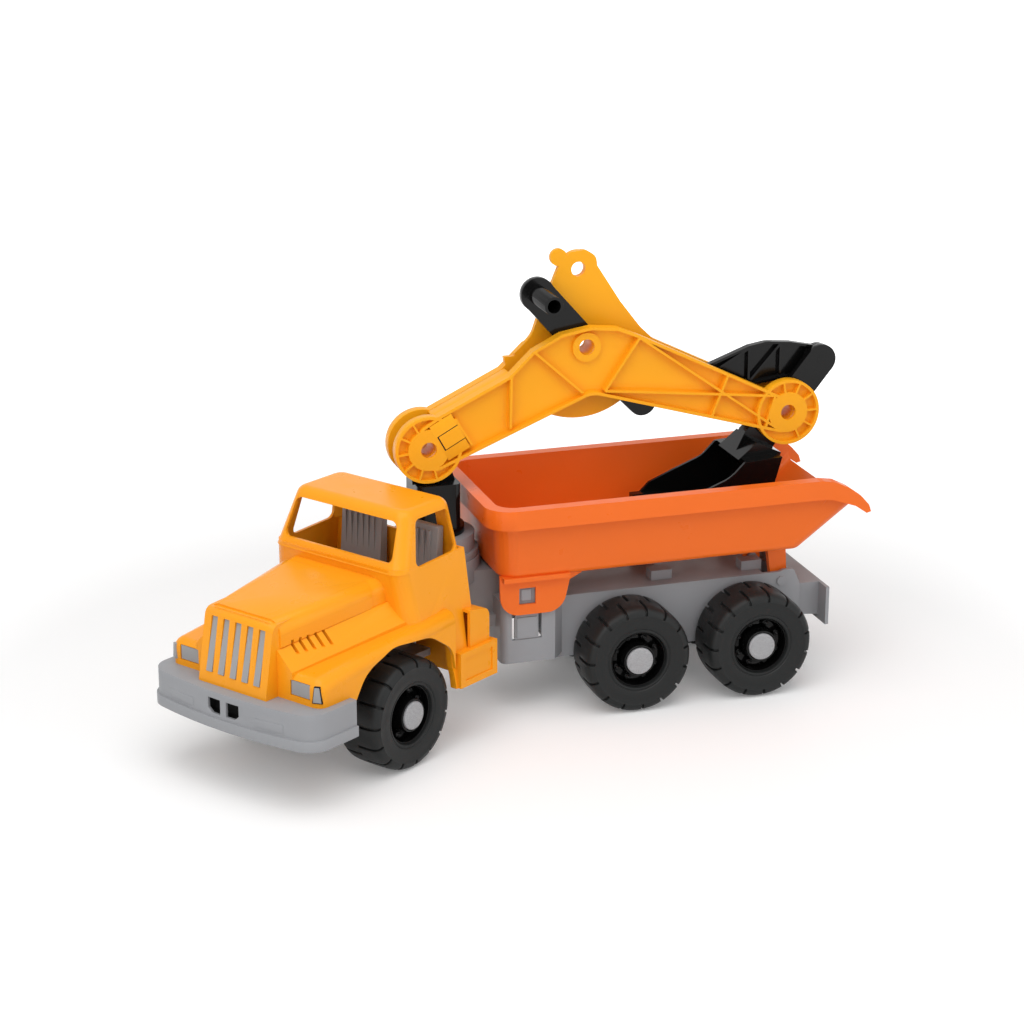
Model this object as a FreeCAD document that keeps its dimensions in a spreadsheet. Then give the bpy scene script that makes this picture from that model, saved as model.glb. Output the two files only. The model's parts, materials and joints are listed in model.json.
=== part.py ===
import FreeCAD, Part
import math
import os
import Sketcher
from FreeCAD import Rotation, Vector

# A six-wheeled sand-pit tipper truck with a turned articulated cab and a digger arm folded over its bed.
# Lengths are in millimetres and angles in degrees. +X runs along the chassis towards the cab, +Y is the
# truck's left and +Z is up. Outlines are drawn from the turntable axis, which the frame values then shift.

SIZES = {
    # frame: from the turntable axis to the middle of the whole toy's box
    "frame_x": -56.34, "frame_y": 55.15,
    # shared
    "running_gap": 0.06, "seat_gap": 0.3, "side_gap": 1.0,
    # wheels
    "tyre_radius": 45.0, "tyre_width": 42.0, "tyre_mid_y": 61.0, "tyre_shoulder": 7.0,
    "rim_radius": 27.0, "dish_radius": 22.0,
    "hub_radius": 12.5, "axle_radius": 4.0, "cap_radius": 9.6, "cap_thick": 2.4, "cap_face_y": 85.0,
    "mid_axle_x": -149.4, "rear_axle_x": -255.9, "front_axle_x": 121.5,
    # chassis
    "rail_half": 38.5, "rail_wall": 3.0, "rail_bottom": 39.0, "rail_top": 92.0, "rail_rear": -307.0,
    "box_half": 51.0, "box_bottom": 43.0, "box_top": 95.5, "box_front": -42.0, "box_rear": -97.0,
    "deck_thick": 3.0, "neck_half": 26.0, "neck_bottom": 70.0, "kingpin_radius": 7.0,
    "pedestal_radius": 37.0, "pedestal_top": 127.0, "ring_radius": 33.0, "ring_top": 146.0,
    "bumper_back": -329.0, "bumper_low": 45.0, "bumper_high": 78.0, "bumper_half": 50.0,
    "axle_boss_radius": 9.0, "standoff_height": 8.0,
    # bed
    "bed_floor": 118.0, "bed_rim": 181.0, "bed_wall": 2.6, "bed_floor_front": -38.0, "bed_floor_rear": -296.0,
    "bed_rim_front": -33.0, "bed_floor_half": 60.0, "bed_rim_half": 69.6, "bed_tail_run": 76.5,
    "flange_width": 7.6, "flange_height": 16.0, "flange_wall": 2.4, "tail_x": -351.0, "tail_z": 151.0,
    "tail_crest_x": -307.0, "lobe_front": -39.0, "lobe_rear": -96.0, "lobe_bottom": 85.6,
    "lobe_inner": 52.2, "lobe_wall": 2.6, "window_size": 14.0, "window_x": -62.3, "window_z": 101.2,
    "hinge_x": -290.0, "hinge_z": 84.0, "hinge_pin_radius": 4.0, "hinge_leg_outer": 33.0, "hinge_leg_thick": 6.0,
    # latch tongue
    "tongue_x": -63.0, "tongue_width": 20.0, "tongue_slot": 2.6, "tongue_bottom": 63.0, "press_travel": 2.0,
    # cab
    "cab_turn": 33.7, "cab_wall": 2.6, "cab_back": 41.0, "roof_top": 198.5, "roof_front": 101.0,
    "roof_half": 58.0, "sill_z": 157.0, "screen_foot": 117.0, "sill_half": 66.0, "door_half": 77.0,
    "cab_bottom": 50.0, "bonnet_front": 222.0, "bonnet_front_top": 138.5,
    "bonnet_front_half": 31.0, "bonnet_rear_half": 52.0, "bonnet_rear_top": 149.0, "cap_proud": 1.3,
    "slope_rear_half": 68.0, "slope_rear_top": 131.0, "slope_front_half": 50.0, "slope_front_top": 118.0,
    "fender_top_rear": 116.0, "fender_half": 82.0, "nose_foot": 235.0, "nose_bottom": 83.0,
    "fender_top_front": 102.0, "fender_front": 222.0,
    "skirt_back": 27.0, "skirt_top": 110.0, "skirt_half": 84.0,
    "skirt_front": 73.0,
    # bumper
    "front_bumper_x": 246.0, "front_bumper_sweep": 9.0, "front_bumper_half": 85.0, "front_bumper_back": 190.0,
    "front_bumper_low": 52.0, "front_bumper_high": 81.0,
    # excavator
    "root_x": 7.5, "root_z": 218.5, "knee_x": -125.6, "knee_z": 291.7, "wrist_x": -301.3, "wrist_z": 222.8,
    "horn_x": -124.7, "horn_z": 351.3, "horn_bore": 6.0, "hub_disc": 27.5, "bore_radius": 6.5,
    "tube_wall": 2.2, "tube_seat": 4.0, "boom_gap": 14.0, "boom_plate": 9.0, "boom_rib": 2.4, "web_disc": 64.0,
    "tower_width": 40.0, "lever_tip_x": -86.5, "lever_tip_z": 336.0, "lever_tip_radius": 14.0,
    "peg_radius": 7.6, "peg_length": 40.0, "link_front_x": -176.0, "link_front_z": 240.6,
    "link_rear_x": -333.8, "link_rear_z": 262.7, "link_pin_radius": 4.0, "ear_radius": 12.7,
    "bucket_half": 34.3, "bucket_wall": 2.6,
}


class Size:
    """A value of the sheet, or a formula of such values: text for an expression and its number."""

    def __init__(self, text, value):
        self.text = text
        self.value = value

    def __add__(self, other):
        return joined(self, "+", other)

    def __radd__(self, other):
        return joined(other, "+", self)

    def __sub__(self, other):
        return joined(self, "-", other)

    def __rsub__(self, other):
        return joined(other, "-", self)

    def __mul__(self, other):
        return joined(self, "*", other)

    def __rmul__(self, other):
        return joined(other, "*", self)

    def __truediv__(self, other):
        return joined(self, "/", other)

    def __neg__(self):
        return joined(0, "-", self)


def text_of(size):
    return size.text if isinstance(size, Size) else f"({size})"


def value_of(size):
    return size.value if isinstance(size, Size) else float(size)


def joined(left, sign, right):
    a = value_of(left)
    b = value_of(right)
    value = {"+": a + b, "-": a - b, "*": a * b, "/": a / b if b else 0.0}[sign]
    return Size(f"({text_of(left)} {sign} {text_of(right)})", value)


doc = FreeCAD.newDocument("TipperTruck")
sheet = doc.addObject("Spreadsheet::Sheet", "Sizes")
for row, (alias, number) in enumerate(SIZES.items(), start=1):
    sheet.set(f"A{row}", alias)
    sheet.set(f"B{row}", str(number))
    sheet.setAlias(f"B{row}", alias)
doc.recompute()


class Sheet:
    """The sheet's values by name, as sizes that can be bound."""

    def __getattr__(self, alias):
        return Size(f"Sizes.{alias}", SIZES[alias])


S = Sheet()
names_used = {}


def unique(name):
    names_used[name] = names_used.get(name, 0) + 1
    return f"{name}_{names_used[name]}"


def bind(item, path, size):
    if isinstance(size, Size):
        item.setExpression(path, size.text)
    elif path.count(".") == 0:
        setattr(item, path, size)
    else:
        item.setExpression(path, text_of(size))


def locate(item, x, y, z, rotation=None):
    if rotation:
        item.Placement = FreeCAD.Placement(Vector(), rotation)
    for letter, size in zip("xyz", (x, y, z)):
        bind(item, f"Placement.Base.{letter}", size)


def box(name, x, y, z):
    """A box from three (low, high) pairs."""
    item = doc.addObject("Part::Box", unique(name))
    for side, (low, high) in zip(("Length", "Width", "Height"), (x, y, z)):
        bind(item, side, high - low if isinstance(high, Size) or isinstance(low, Size) else high - low)
    locate(item, x[0], y[0], z[0])
    return item


AXIS_TURNS = {
    "X": Rotation(Vector(0, 1, 0), 90),
    "Y": Rotation(Vector(1, 0, 0), -90),
    "Z": None,
}


def rod(name, axis, radius, centre, span):
    """A cylinder along an axis: centre holds the other two coordinates in order, span its two ends."""
    item = doc.addObject("Part::Cylinder", unique(name))
    bind(item, "Radius", radius)
    bind(item, "Height", span[1] - span[0])
    a, b = centre
    start = {"X": (span[0], a, b), "Y": (a, span[0], b), "Z": (a, b, span[0])}[axis]
    locate(item, *start, AXIS_TURNS[axis])
    return item


def fuse(name, items):
    item = doc.addObject("Part::MultiFuse", unique(name))
    item.Shapes = items
    item.Refine = True
    return item


def cut(name, base, tools):
    item = doc.addObject("Part::Cut", unique(name))
    item.Base = base
    item.Tool = tools[0] if len(tools) == 1 else fuse(name + "_tools", tools)
    item.Refine = True
    return item


def common(name, items):
    item = doc.addObject("Part::MultiCommon", unique(name))
    item.Shapes = items
    return item


def mirrored(name, source):
    """The same piece on the other side of the lengthwise middle plane."""
    item = doc.addObject("Part::Mirroring", unique(name))
    item.Source = source
    item.Normal = Vector(0, 1, 0)
    return item


PLANES = {"Y": ("XZ_Plane", -1), "Z": ("XY_Plane", 1), "X": ("YZ_Plane", 1)}


def profile(body, axis, points, height):
    """A closed polygon sketch across an axis, every corner bound to its two coordinates."""
    role, sign = PLANES[axis]
    sketch = body.newObject("Sketcher::SketchObject", unique("Sketch"))
    plane = [item for item in body.Origin.OriginFeatures if item.Role == role][0]
    sketch.AttachmentSupport = [(plane, "")]
    sketch.MapMode = "FlatFace"
    bind(sketch, "AttachmentOffset.Base.z", height * sign)
    corners = [Vector(value_of(u), value_of(v), 0) for u, v in points]
    for here, there in zip(corners, corners[1:] + corners[:1]):
        sketch.addGeometry(Part.LineSegment(here, there), False)
    count = len(points)
    for edge in range(count):
        sketch.addConstraint(Sketcher.Constraint("Coincident", edge, 2, (edge + 1) % count, 1))
    for edge, (u, v) in enumerate(points):
        for kind, size in (("DistanceX", u), ("DistanceY", v)):
            number = sketch.addConstraint(Sketcher.Constraint(kind, edge, 1, value_of(size)))
            if isinstance(size, Size):
                sketch.setExpression(f"Constraints[{number}]", size.text)
    return sketch


def edges_at(shape, axis, point):
    """The numbers of the edges that run along an axis through a corner of the outline."""
    across = {"Y": ("x", "z"), "Z": ("x", "y"), "X": ("y", "z")}[axis]
    found = []
    for number, edge in enumerate(shape.Edges, start=1):
        if len(edge.Vertexes) != 2 or edge.Length < 1e-6:
            continue
        ends = [vertex.Point for vertex in edge.Vertexes]
        if all(abs(getattr(end, letter) - value_of(size)) < 1e-4
               for end in ends for letter, size in zip(across, point)):
            found.append(f"Edge{number}")
    return found


def slab(name, axis, points, span, rounds=None):
    """A polygon padded along an axis between two heights; rounds gives {corner number: radius}."""
    body = doc.addObject("PartDesign::Body", unique(name))
    low, high = span
    start = high if axis == "Y" else low
    sketch = profile(body, axis, points, start)
    pad = body.newObject("PartDesign::Pad", unique("Pad"))
    pad.Profile = sketch
    bind(pad, "Length", high - low)
    if rounds:
        doc.recompute()
        last = pad
        for radius in sorted({value_of(r) for r in rounds.values()}, reverse=True):
            corners = [corner for corner, r in rounds.items() if value_of(r) == radius]
            size = rounds[corners[0]]
            edges = [edge for corner in corners for edge in edges_at(last.Shape, axis, points[corner])]
            fillet = body.newObject("PartDesign::Fillet", unique("Fillet"))
            fillet.Base = (last, edges)
            bind(fillet, "Radius", size)
            doc.recompute()
            last = fillet
    return body


def wedge(name, axis, near, far, rounds=None, bevel=False):
    """A tapered block between two rectangles. Each end is (height, (low, high), (low, high)), the pairs
    being the other two coordinates in order; axis is Z or X. rounds is (test of an edge, radius) pairs,
    which bevel cuts flat instead, for a hidden inside."""
    body = doc.addObject("PartDesign::Body", unique(name))
    item = body.newObject("PartDesign::AdditiveWedge", unique("Wedge"))
    # the wedge tapers along its own Y; its X and Z are the rectangle's sides
    bind(item, "Ymin", near[0])
    bind(item, "Ymax", far[0])
    if axis == "Z":
        sides = (near[1], far[1], (-near[2][1], -near[2][0]), (-far[2][1], -far[2][0]))
        turn = Rotation(Vector(1, 0, 0), 90)
    else:
        sides = ((-near[1][1], -near[1][0]), (-far[1][1], -far[1][0]), near[2], far[2])
        turn = Rotation(Vector(0, 0, 1), -90)
    for prefix, (low, high) in zip(("X", "X2", "Z", "Z2"), sides):
        bind(item, prefix + "min", low)
        bind(item, prefix + "max", high)
    item.AttachmentOffset = FreeCAD.Placement(Vector(), turn)
    item.Placement = FreeCAD.Placement(Vector(), turn)
    last = item
    for picked, radius in rounds or []:
        doc.recompute()
        edges = [f"Edge{n}" for n, edge in enumerate(last.Shape.Edges, start=1) if picked(edge)]
        kind, size = ("Chamfer", "Size") if bevel else ("Fillet", "Radius")
        finish = body.newObject(f"PartDesign::{kind}", unique(kind))
        finish.Base = (last, edges)
        bind(finish, size, radius * 0.6 if bevel else radius)
        last = finish
    return body


def hollowed(name, source, picked, wall):
    """The piece as a moulded shell: the picked faces are open and the wall grows inwards."""
    doc.recompute()
    item = doc.addObject("Part::Thickness", unique(name))
    faces = [f"Face{n}" for n, face in enumerate(source.Shape.Faces, start=1) if picked(face)]
    item.Faces = (source, faces)
    bind(item, "Value", -wall)
    item.Join = 0
    return item


def shelled(body, picked, wall):
    """The last solid of a body hollowed from its picked faces."""
    doc.recompute()
    last = body.Tip
    item = body.newObject("PartDesign::Thickness", unique("Thickness"))
    item.Base = (last, [f"Face{n}" for n, face in enumerate(last.Shape.Faces, start=1) if picked(face)])
    bind(item, "Value", wall)
    item.Reversed = True
    return body


def bar(name, start, end, y, thick):
    """A straight rib across Y between two points of the side view."""
    (x1, z1), (x2, z2) = [[value_of(c) for c in point] for point in (start, end)]
    length = math.hypot(x2 - x1, z2 - z1)
    angle = -math.degrees(math.atan2(z2 - z1, x2 - x1))
    item = doc.addObject("Part::Box", unique(name))
    item.Length = length
    bind(item, "Width", y[1] - y[0])
    bind(item, "Height", thick)
    turn = Rotation(Vector(0, 1, 0), angle)
    lift = turn.multVec(Vector(0, 0, -value_of(thick) / 2))
    item.Placement = FreeCAD.Placement(Vector(x1 + lift.x, value_of(y[0]), z1 + lift.z), turn)
    return item


nodes = {}


def node(name, item, turned=False):
    """Names a finished piece; pieces of the cab are turned with it about the kingpin."""
    if item.TypeId == "Part::Cylinder":
        group = doc.addObject("Part::Compound", unique("piece"))
        group.Links = [item]
        item = group
    item.Label = name
    nodes[name] = item
    if turned:
        item.Placement = FreeCAD.Placement(Vector(), Rotation(Vector(0, 0, 1), SIZES["cab_turn"]))
        item.setExpression("Placement.Rotation.Angle", S.cab_turn.text)
    bind(item, "Placement.Base.x", -S.frame_x)
    bind(item, "Placement.Base.y", -S.frame_y)


# ---------------------------------------------------------------- wheels

def wheel(name, x, side, turned):
    """A tyre with chamfered shoulders round its dished rim, on an axle at x; side is +1 or -1."""
    inner = S.tyre_mid_y - S.tyre_width / 2
    outer = S.tyre_mid_y + S.tyre_width / 2
    middle = (x, S.tyre_radius)
    carcass = rod("carcass", "Y", S.tyre_radius, middle, (inner, outer))
    doc.recompute()
    shoulder = doc.addObject("Part::Chamfer", unique("shoulder"))
    shoulder.Base = carcass
    size = SIZES["tyre_shoulder"]
    shoulder.Edges = [(n, size, size) for n, edge in enumerate(carcass.Shape.Edges, start=1)
                      if len(edge.Vertexes) == 1]
    tyre = cut("tyre", shoulder, [rod("rim_seat", "Y", S.rim_radius, middle, (inner - 1, outer + 1))])
    bore = S.axle_radius + S.running_gap
    barrel = cut("barrel",
                 rod("barrel", "Y", S.rim_radius, middle, (inner + 2, outer - 4)),
                 [rod("dish", "Y", S.dish_radius, middle, (S.tyre_mid_y - 2, outer))])
    hub = rod("hub", "Y", S.hub_radius, middle, (inner + 2, S.cap_face_y - S.cap_thick - S.seat_gap))
    rim = cut("rim", fuse("rim_solid", [barrel, hub]), [rod("bore", "Y", bore, middle, (0, outer + 9))])
    if side < 0:
        tyre = mirrored("tyre", tyre)
        rim = mirrored("rim", rim)
    node(f"tyre_{name}", tyre, turned)
    node(f"rim_{name}", rim, turned)


def axle(name, x, turned):
    end = S.cap_face_y - S.cap_thick
    node(f"{name}_axle", rod("axle", "Y", S.axle_radius, (x, S.tyre_radius), (-end, end)), turned)


def caps(name, axles, turned):
    """The push-on caps that keep the wheels on, one at each axle end."""
    pieces = []
    for x in axles:
        for low, high in ((S.cap_face_y - S.cap_thick, S.cap_face_y), (-S.cap_face_y, -S.cap_face_y + S.cap_thick)):
            pieces.append(rod("cap", "Y", S.cap_radius, (x, S.tyre_radius), (low, high)))
    group = doc.addObject("Part::Compound", unique(name))
    group.Links = pieces
    node(name, group, turned)


# ---------------------------------------------------------------- chassis

def chassis():
    """One moulding: side rails, deck, wide latch box, neck, turntable pedestal and rear bumper."""
    rail = [(S.box_rear + 4, S.rail_bottom), (S.rail_rear + 8, S.rail_bottom), (S.rail_rear, S.rail_bottom + 14),
            (S.rail_rear, S.rail_top - 12), (S.rail_rear + 6, S.rail_top + 1.5), (S.rail_rear + 15, S.rail_top + 1.5),
            (S.rail_rear + 19, S.rail_top), (S.box_rear + 4, S.rail_top)]
    solid = slab("rails", "Y", rail, (-S.rail_half, S.rail_half), {3: 6, 4: 3})
    inside = box("rail_space", (S.rail_rear + S.rail_wall, S.box_rear + 8),
                 (-S.rail_half + S.rail_wall, S.rail_half - S.rail_wall),
                 (S.rail_bottom - 1, S.rail_top - S.deck_thick))
    rear_slot = box("hinge_slot", (S.rail_rear + S.rail_wall, S.hinge_x + 16),
                    (-S.rail_half + S.rail_wall, S.rail_half - S.rail_wall),
                    (S.rail_bottom - 1, S.rail_top + 4))
    rear = cut("rear_frame", solid, [inside, rear_slot])
    boxed = slab("latch_box", "Z",
                 [(S.box_front, -S.box_half), (S.box_front, S.box_half), (S.box_rear + 10, S.box_half),
                  (S.box_rear, S.rail_half), (S.box_rear, -S.rail_half), (S.box_rear + 10, -S.box_half)],
                 (S.box_bottom, S.box_top), {0: 6, 1: 6})
    box_space = box("box_space", (S.box_rear - 1, S.box_front - S.rail_wall),
                    (-S.rail_half + S.rail_wall, S.rail_half - S.rail_wall),
                    (S.box_bottom - 1, S.box_top - S.deck_thick))
    side_space = box("side_space", (S.box_rear + 12, S.box_front - S.rail_wall),
                     (-S.box_half + S.rail_wall, S.box_half - S.rail_wall),
                     (S.box_bottom - 1, S.box_top - S.deck_thick))
    cutters = [box_space, side_space]
    slot = S.tongue_width / 2 + S.tongue_slot
    for low, high in ((S.box_half - S.rail_wall - 12, S.box_half + 1), (-S.box_half - 1, -S.box_half + S.rail_wall + 12)):
        cutters.append(box("tongue_gap", (S.tongue_x - slot, S.tongue_x + slot), (low, high),
                           (S.tongue_bottom, S.box_top + 1)))
    front = cut("front_frame", boxed, cutters)
    neck = slab("neck", "Z",
                [(S.box_front - S.rail_wall, -S.neck_half - 8), (S.box_front - S.rail_wall, S.neck_half + 8),
                 (0, S.neck_half), (0, -S.neck_half)], (S.neck_bottom, S.neck_bottom + 10))
    round_neck = rod("neck_end", "Z", S.neck_half, (0, 0), (S.neck_bottom, S.neck_bottom + 10))
    pedestal = rod("pedestal", "Z", S.pedestal_radius - 4, (0, 0), (S.neck_bottom, S.pedestal_top - 18))
    upper = rod("pedestal_top", "Z", S.pedestal_radius, (0, 0), (S.pedestal_top - 19, S.pedestal_top))
    rear_step = box("step", (S.box_front - 8, -10), (-S.neck_half, S.neck_half), (S.neck_bottom, S.pedestal_top - 10))
    pin_hole = rod("pin_hole", "Z", S.kingpin_radius, (0, 0), (0, S.neck_bottom + 22))
    bosses = []
    for x in (S.mid_axle_x, S.rear_axle_x):
        for side in (-1, 1):
            low, high = sorted((side * (S.rail_half - S.rail_wall - 8), side * (S.rail_half + 0.6)), key=value_of)
            bosses.append(rod("axle_boss", "Y", S.axle_boss_radius, (x, S.tyre_radius), (low, high)))
    axle_holes = [rod("axle_hole", "Y", S.axle_radius, (x, S.tyre_radius), (-60, 60))
                  for x in (S.mid_axle_x, S.rear_axle_x)]
    standoffs = []
    for x in (-188, -268):
        for y in (-26, 14):
            standoffs.append(box("standoff", (x - 9, x + 9), (y, y + 12),
                                 (S.rail_top - 1, S.rail_top + S.standoff_height)))
    arm = slab("bumper_arm", "Y",
               [(S.rail_rear + 4, S.rail_top - 14), (S.bumper_back + 3, S.bumper_high), (S.bumper_back + 3, S.bumper_low + 4),
                (S.rail_rear + 4, S.bumper_low + 6)], (-S.rail_half + 4, S.rail_half - 4))
    arm_space = slab("bumper_arm_space", "Y",
                     [(S.rail_rear - 0.5, S.rail_top - 22), (S.bumper_back + 2, S.bumper_high - 5),
                      (S.bumper_back + 2, S.bumper_low + 8), (S.rail_rear - 0.5, S.bumper_low + 8)],
                     (-S.rail_half + 7, S.rail_half - 7))
    plate = box("bumper_plate", (S.bumper_back, S.bumper_back + 3), (-S.bumper_half, S.bumper_half),
                (S.bumper_low, S.bumper_high))
    hinge_holes = rod("hinge_hole", "Y", S.hinge_pin_radius, (S.hinge_x, S.hinge_z), (-60, 60))
    body = fuse("chassis_solid", [rear, front, neck, round_neck, pedestal, upper, rear_step] + bosses + standoffs
                + [cut("bumper_arm", arm, [arm_space]), plate])
    node("chassis_frame", cut("chassis_frame", body, axle_holes + [pin_hole, hinge_holes]))
    ring = cut("ring", fuse("ring_solid", [
        rod("ring", "Z", S.ring_radius, (0, 0), (S.pedestal_top, S.ring_top)),
        rod("ring_foot", "Z", S.ring_radius + 3, (0, 0), (S.pedestal_top, S.pedestal_top + 6))]),
        [rod("ring_bore", "Z", S.ring_radius - 10 + S.running_gap, (0, 0), (S.pedestal_top + 3, S.ring_top + 1))])
    node("turntable_ring", ring)
    pin = fuse("kingpin", [
        rod("kingpin", "Z", S.kingpin_radius, (0, 0), (S.neck_bottom - 12, S.neck_bottom + 22)),
        rod("kingpin_head", "Z", S.kingpin_radius + 5, (0, 0), (S.neck_bottom - 14, S.neck_bottom - 10.3))])
    node("kingpin", pin)
    axle("mid", S.mid_axle_x, False)
    axle("rear", S.rear_axle_x, False)
    caps("rear_hub_caps", (S.mid_axle_x, S.rear_axle_x), False)
    pins = doc.addObject("Part::Compound", "hinge_pins")
    leg = S.hinge_leg_outer - S.hinge_leg_thick
    pins.Links = [rod("hinge_pin", "Y", S.hinge_pin_radius, (S.hinge_x, S.hinge_z), span)
                  for span in ((leg - 3, S.rail_half + 1.5), (-S.rail_half - 1.5, -leg + 3))]
    node("bed_hinge_pins", pins)


def latch(name, side):
    """A springy tongue of the rail with a press pad below and the catch that holds the bed lobe."""
    half = S.tongue_width / 2
    low, high = sorted((side * (S.box_half - S.rail_wall), side * S.box_half), key=value_of)
    catch = sorted((side * (S.box_half - S.rail_wall), side * (S.lobe_inner - S.seat_gap)), key=value_of)
    blade = box("blade", (S.tongue_x - half, S.tongue_x + half), (low, high),
                (S.tongue_bottom + S.seat_gap, S.window_z + S.window_size / 2 - 1))
    pad_low, pad_high = sorted((side * (S.box_half - 0.5), side * (S.box_half + 0.8)), key=value_of)
    pad = box("pad", (S.tongue_x - half + 1.5, S.tongue_x + half - 1.5), (pad_low, pad_high),
              (S.tongue_bottom + 1.5, S.tongue_bottom + 19))
    hook = box("hook", (S.window_x - 4.5, S.window_x + 4.5), tuple(catch),
               (S.window_z - 5, S.window_z + 5))
    node(name, fuse("latch", [blade, pad, hook]))


# ---------------------------------------------------------------- bed

def basin(inset, corner, tail_corner, foot):
    """The bed's tapered block drawn in by inset, each wall by its own slope's share so all are as thick."""
    tail, side, front = inset * 0.36, inset * 0.86, inset * 0.92
    return wedge("tub", "Z",
                 (S.bed_floor + inset, (S.bed_floor_rear + tail, S.bed_floor_front - front),
                  (-S.bed_floor_half + side, S.bed_floor_half - side)),
                 (S.bed_rim + inset, (S.bed_floor_rear - S.bed_tail_run + tail, S.bed_rim_front - front),
                  (-S.bed_rim_half + side, S.bed_rim_half - side)),
                 [(lambda edge: rises(edge) and edge.CenterOfMass.x > -100, corner),
                  (lambda edge: rises(edge) and edge.CenterOfMass.x < -200, tail_corner),
                  (lambda edge: edge.CenterOfMass.z < SIZES["bed_floor"] + 3 and flat(edge), foot)])


def bed():
    """The tipper bed: tapered tub, hollow rolled rim with a curled tail, latch lobes and hinge legs."""
    tub = cut("tub", basin(S.bed_wall * 0, 16, 9, 6), [basin(S.bed_wall, 13.4, 6.4, 3.4)])
    # the rim follows the side view: level, then curling down to the tail
    crest = [(S.bed_rim_front + 20, S.bed_rim), (S.tail_crest_x, S.bed_rim), (S.tail_crest_x - 12, S.bed_rim - 2),
             (S.tail_crest_x - 24, S.bed_rim - 8), (S.tail_crest_x - 34, S.bed_rim - 15),
             (S.tail_x + 2, S.tail_z + 6), (S.tail_x, S.tail_z)]
    above = slab("above_crest", "Y", crest + [(S.tail_x - 40, S.tail_z), (S.tail_x - 40, S.bed_rim + 20),
                                              (S.bed_rim_front + 20, S.bed_rim + 20)], (-100, 100))
    behind = slab("behind_tail", "Y", [(S.tail_x + 13, S.tail_z + 30), (S.tail_x + 13, S.tail_z - 3),
                                       (S.tail_x - 40, S.tail_z - 3), (S.tail_x - 40, S.tail_z + 30)], (-100, 100))
    tub = cut("tub_trimmed", tub, [above, behind])
    outer = S.bed_rim_half + S.flange_width
    band = crest + [(S.tail_x + 4, S.tail_z - 1), (S.tail_x + 14, S.tail_z + 6), (S.tail_crest_x - 10, S.bed_rim - 17),
                    (S.tail_crest_x, S.bed_rim - S.flange_height), (S.bed_rim_front + 20, S.bed_rim - S.flange_height)]
    band_solid = slab("rim_band", "Y", band, (-outer - 1, outer + 1), {1: 25, 2: 30, 3: 30, 4: 25})
    rim_plan = [(S.bed_rim_front + S.flange_width, -outer), (S.bed_rim_front + S.flange_width, outer),
                (S.tail_x - 5, outer), (S.tail_x - 5, -outer)]
    ring = slab("rim_plan", "Z", rim_plan, (S.bed_floor, S.bed_rim + 1), {0: 22, 1: 22})
    inner_half = S.bed_rim_half - S.bed_wall
    well = slab("rim_well", "Z", [(S.bed_rim_front - S.bed_wall, -inner_half), (S.bed_rim_front - S.bed_wall, inner_half),
                                  (S.tail_x - 60, inner_half), (S.tail_x - 60, -inner_half)],
                (S.bed_floor - 1, S.bed_rim + 2), {0: 15, 1: 15})
    hollow = S.flange_wall
    under_plan = [(S.bed_rim_front + S.flange_width - hollow, -outer + hollow),
                  (S.bed_rim_front + S.flange_width - hollow, outer - hollow),
                  (S.tail_x + hollow, outer - hollow), (S.tail_x + hollow, -outer + hollow)]
    under = cut("under_rim", slab("under_rim", "Z", under_plan, (S.bed_floor, S.bed_rim), {0: 19.6, 1: 19.6}),
                [slab("under_rim_core", "Z",
                      [(S.bed_rim_front, -S.bed_rim_half + 0.2), (S.bed_rim_front, S.bed_rim_half - 0.2),
                       (S.tail_x - 60, S.bed_rim_half - 0.2), (S.tail_x - 60, -S.bed_rim_half + 0.2)],
                      (S.bed_floor - 1, S.bed_rim + 2), {0: 16, 1: 16})])
    drop = doc.addObject("Part::Feature", "rim_under_band")
    doc.recompute()
    drop.Shape = band_solid.Shape.copy()
    drop.Placement = FreeCAD.Placement(Vector(0, 0, -SIZES["flange_wall"]), Rotation())
    space = common("rim_space", [under, drop])
    rim = cut("rim", common("rim_solid", [ring, band_solid]), [well, space])
    lobes = []
    for side in (-1, 1):
        low, high = sorted((side * S.lobe_inner, side * (S.lobe_inner + S.lobe_wall)), key=value_of)
        lobe = slab("lobe", "Y",
                    [(S.lobe_front, S.bed_floor + 2), (S.lobe_front - 1, S.lobe_bottom), (S.lobe_rear + 4, S.lobe_bottom),
                     (S.lobe_rear - 2, S.bed_floor - 6), (S.lobe_rear - 12, S.bed_floor - 1), (S.lobe_rear - 12, S.bed_floor + 2)],
                    (low, high), {1: 16, 2: 16})
        half = S.window_size / 2
        hole = box("window", (S.window_x - half, S.window_x + half), (low - 1, high + 1),
                   (S.window_z - half, S.window_z + half))
        lobes.append(cut("lobe", lobe, [hole]))
        # the web that carries the lobe down from the tub's side
        web_low, web_high = sorted((side * S.lobe_inner, side * (S.bed_floor_half + 2)), key=value_of)
        lobes.append(box("lobe_web", (S.lobe_rear, S.lobe_front - 1.5), (web_low, web_high),
                         (S.bed_floor - 2, S.bed_floor + 2)))
    legs = []
    for side in (-1, 1):
        low, high = sorted((side * (S.hinge_leg_outer - S.hinge_leg_thick), side * S.hinge_leg_outer), key=value_of)
        leg = slab("leg", "Y",
                   [(S.hinge_x - 5, S.bed_floor + 1), (S.hinge_x + 12, S.bed_floor + 1), (S.hinge_x + 7, S.hinge_z),
                    (S.hinge_x - 7, S.hinge_z)], (low, high))
        round_end = rod("leg_end", "Y", 8, (S.hinge_x, S.hinge_z), (low, high))
        legs.append(cut("leg", fuse("leg_solid", [leg, round_end]),
                        [rod("leg_bore", "Y", S.hinge_pin_radius + S.running_gap, (S.hinge_x, S.hinge_z),
                             (low - 1, high + 1))]))
    node("bed_tub", fuse("bed_tub", [tub, rim] + lobes + legs))


def rises(edge):
    ends = [vertex.Point for vertex in edge.Vertexes]
    return len(ends) == 2 and abs(ends[0].z - ends[1].z) > 5


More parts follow.
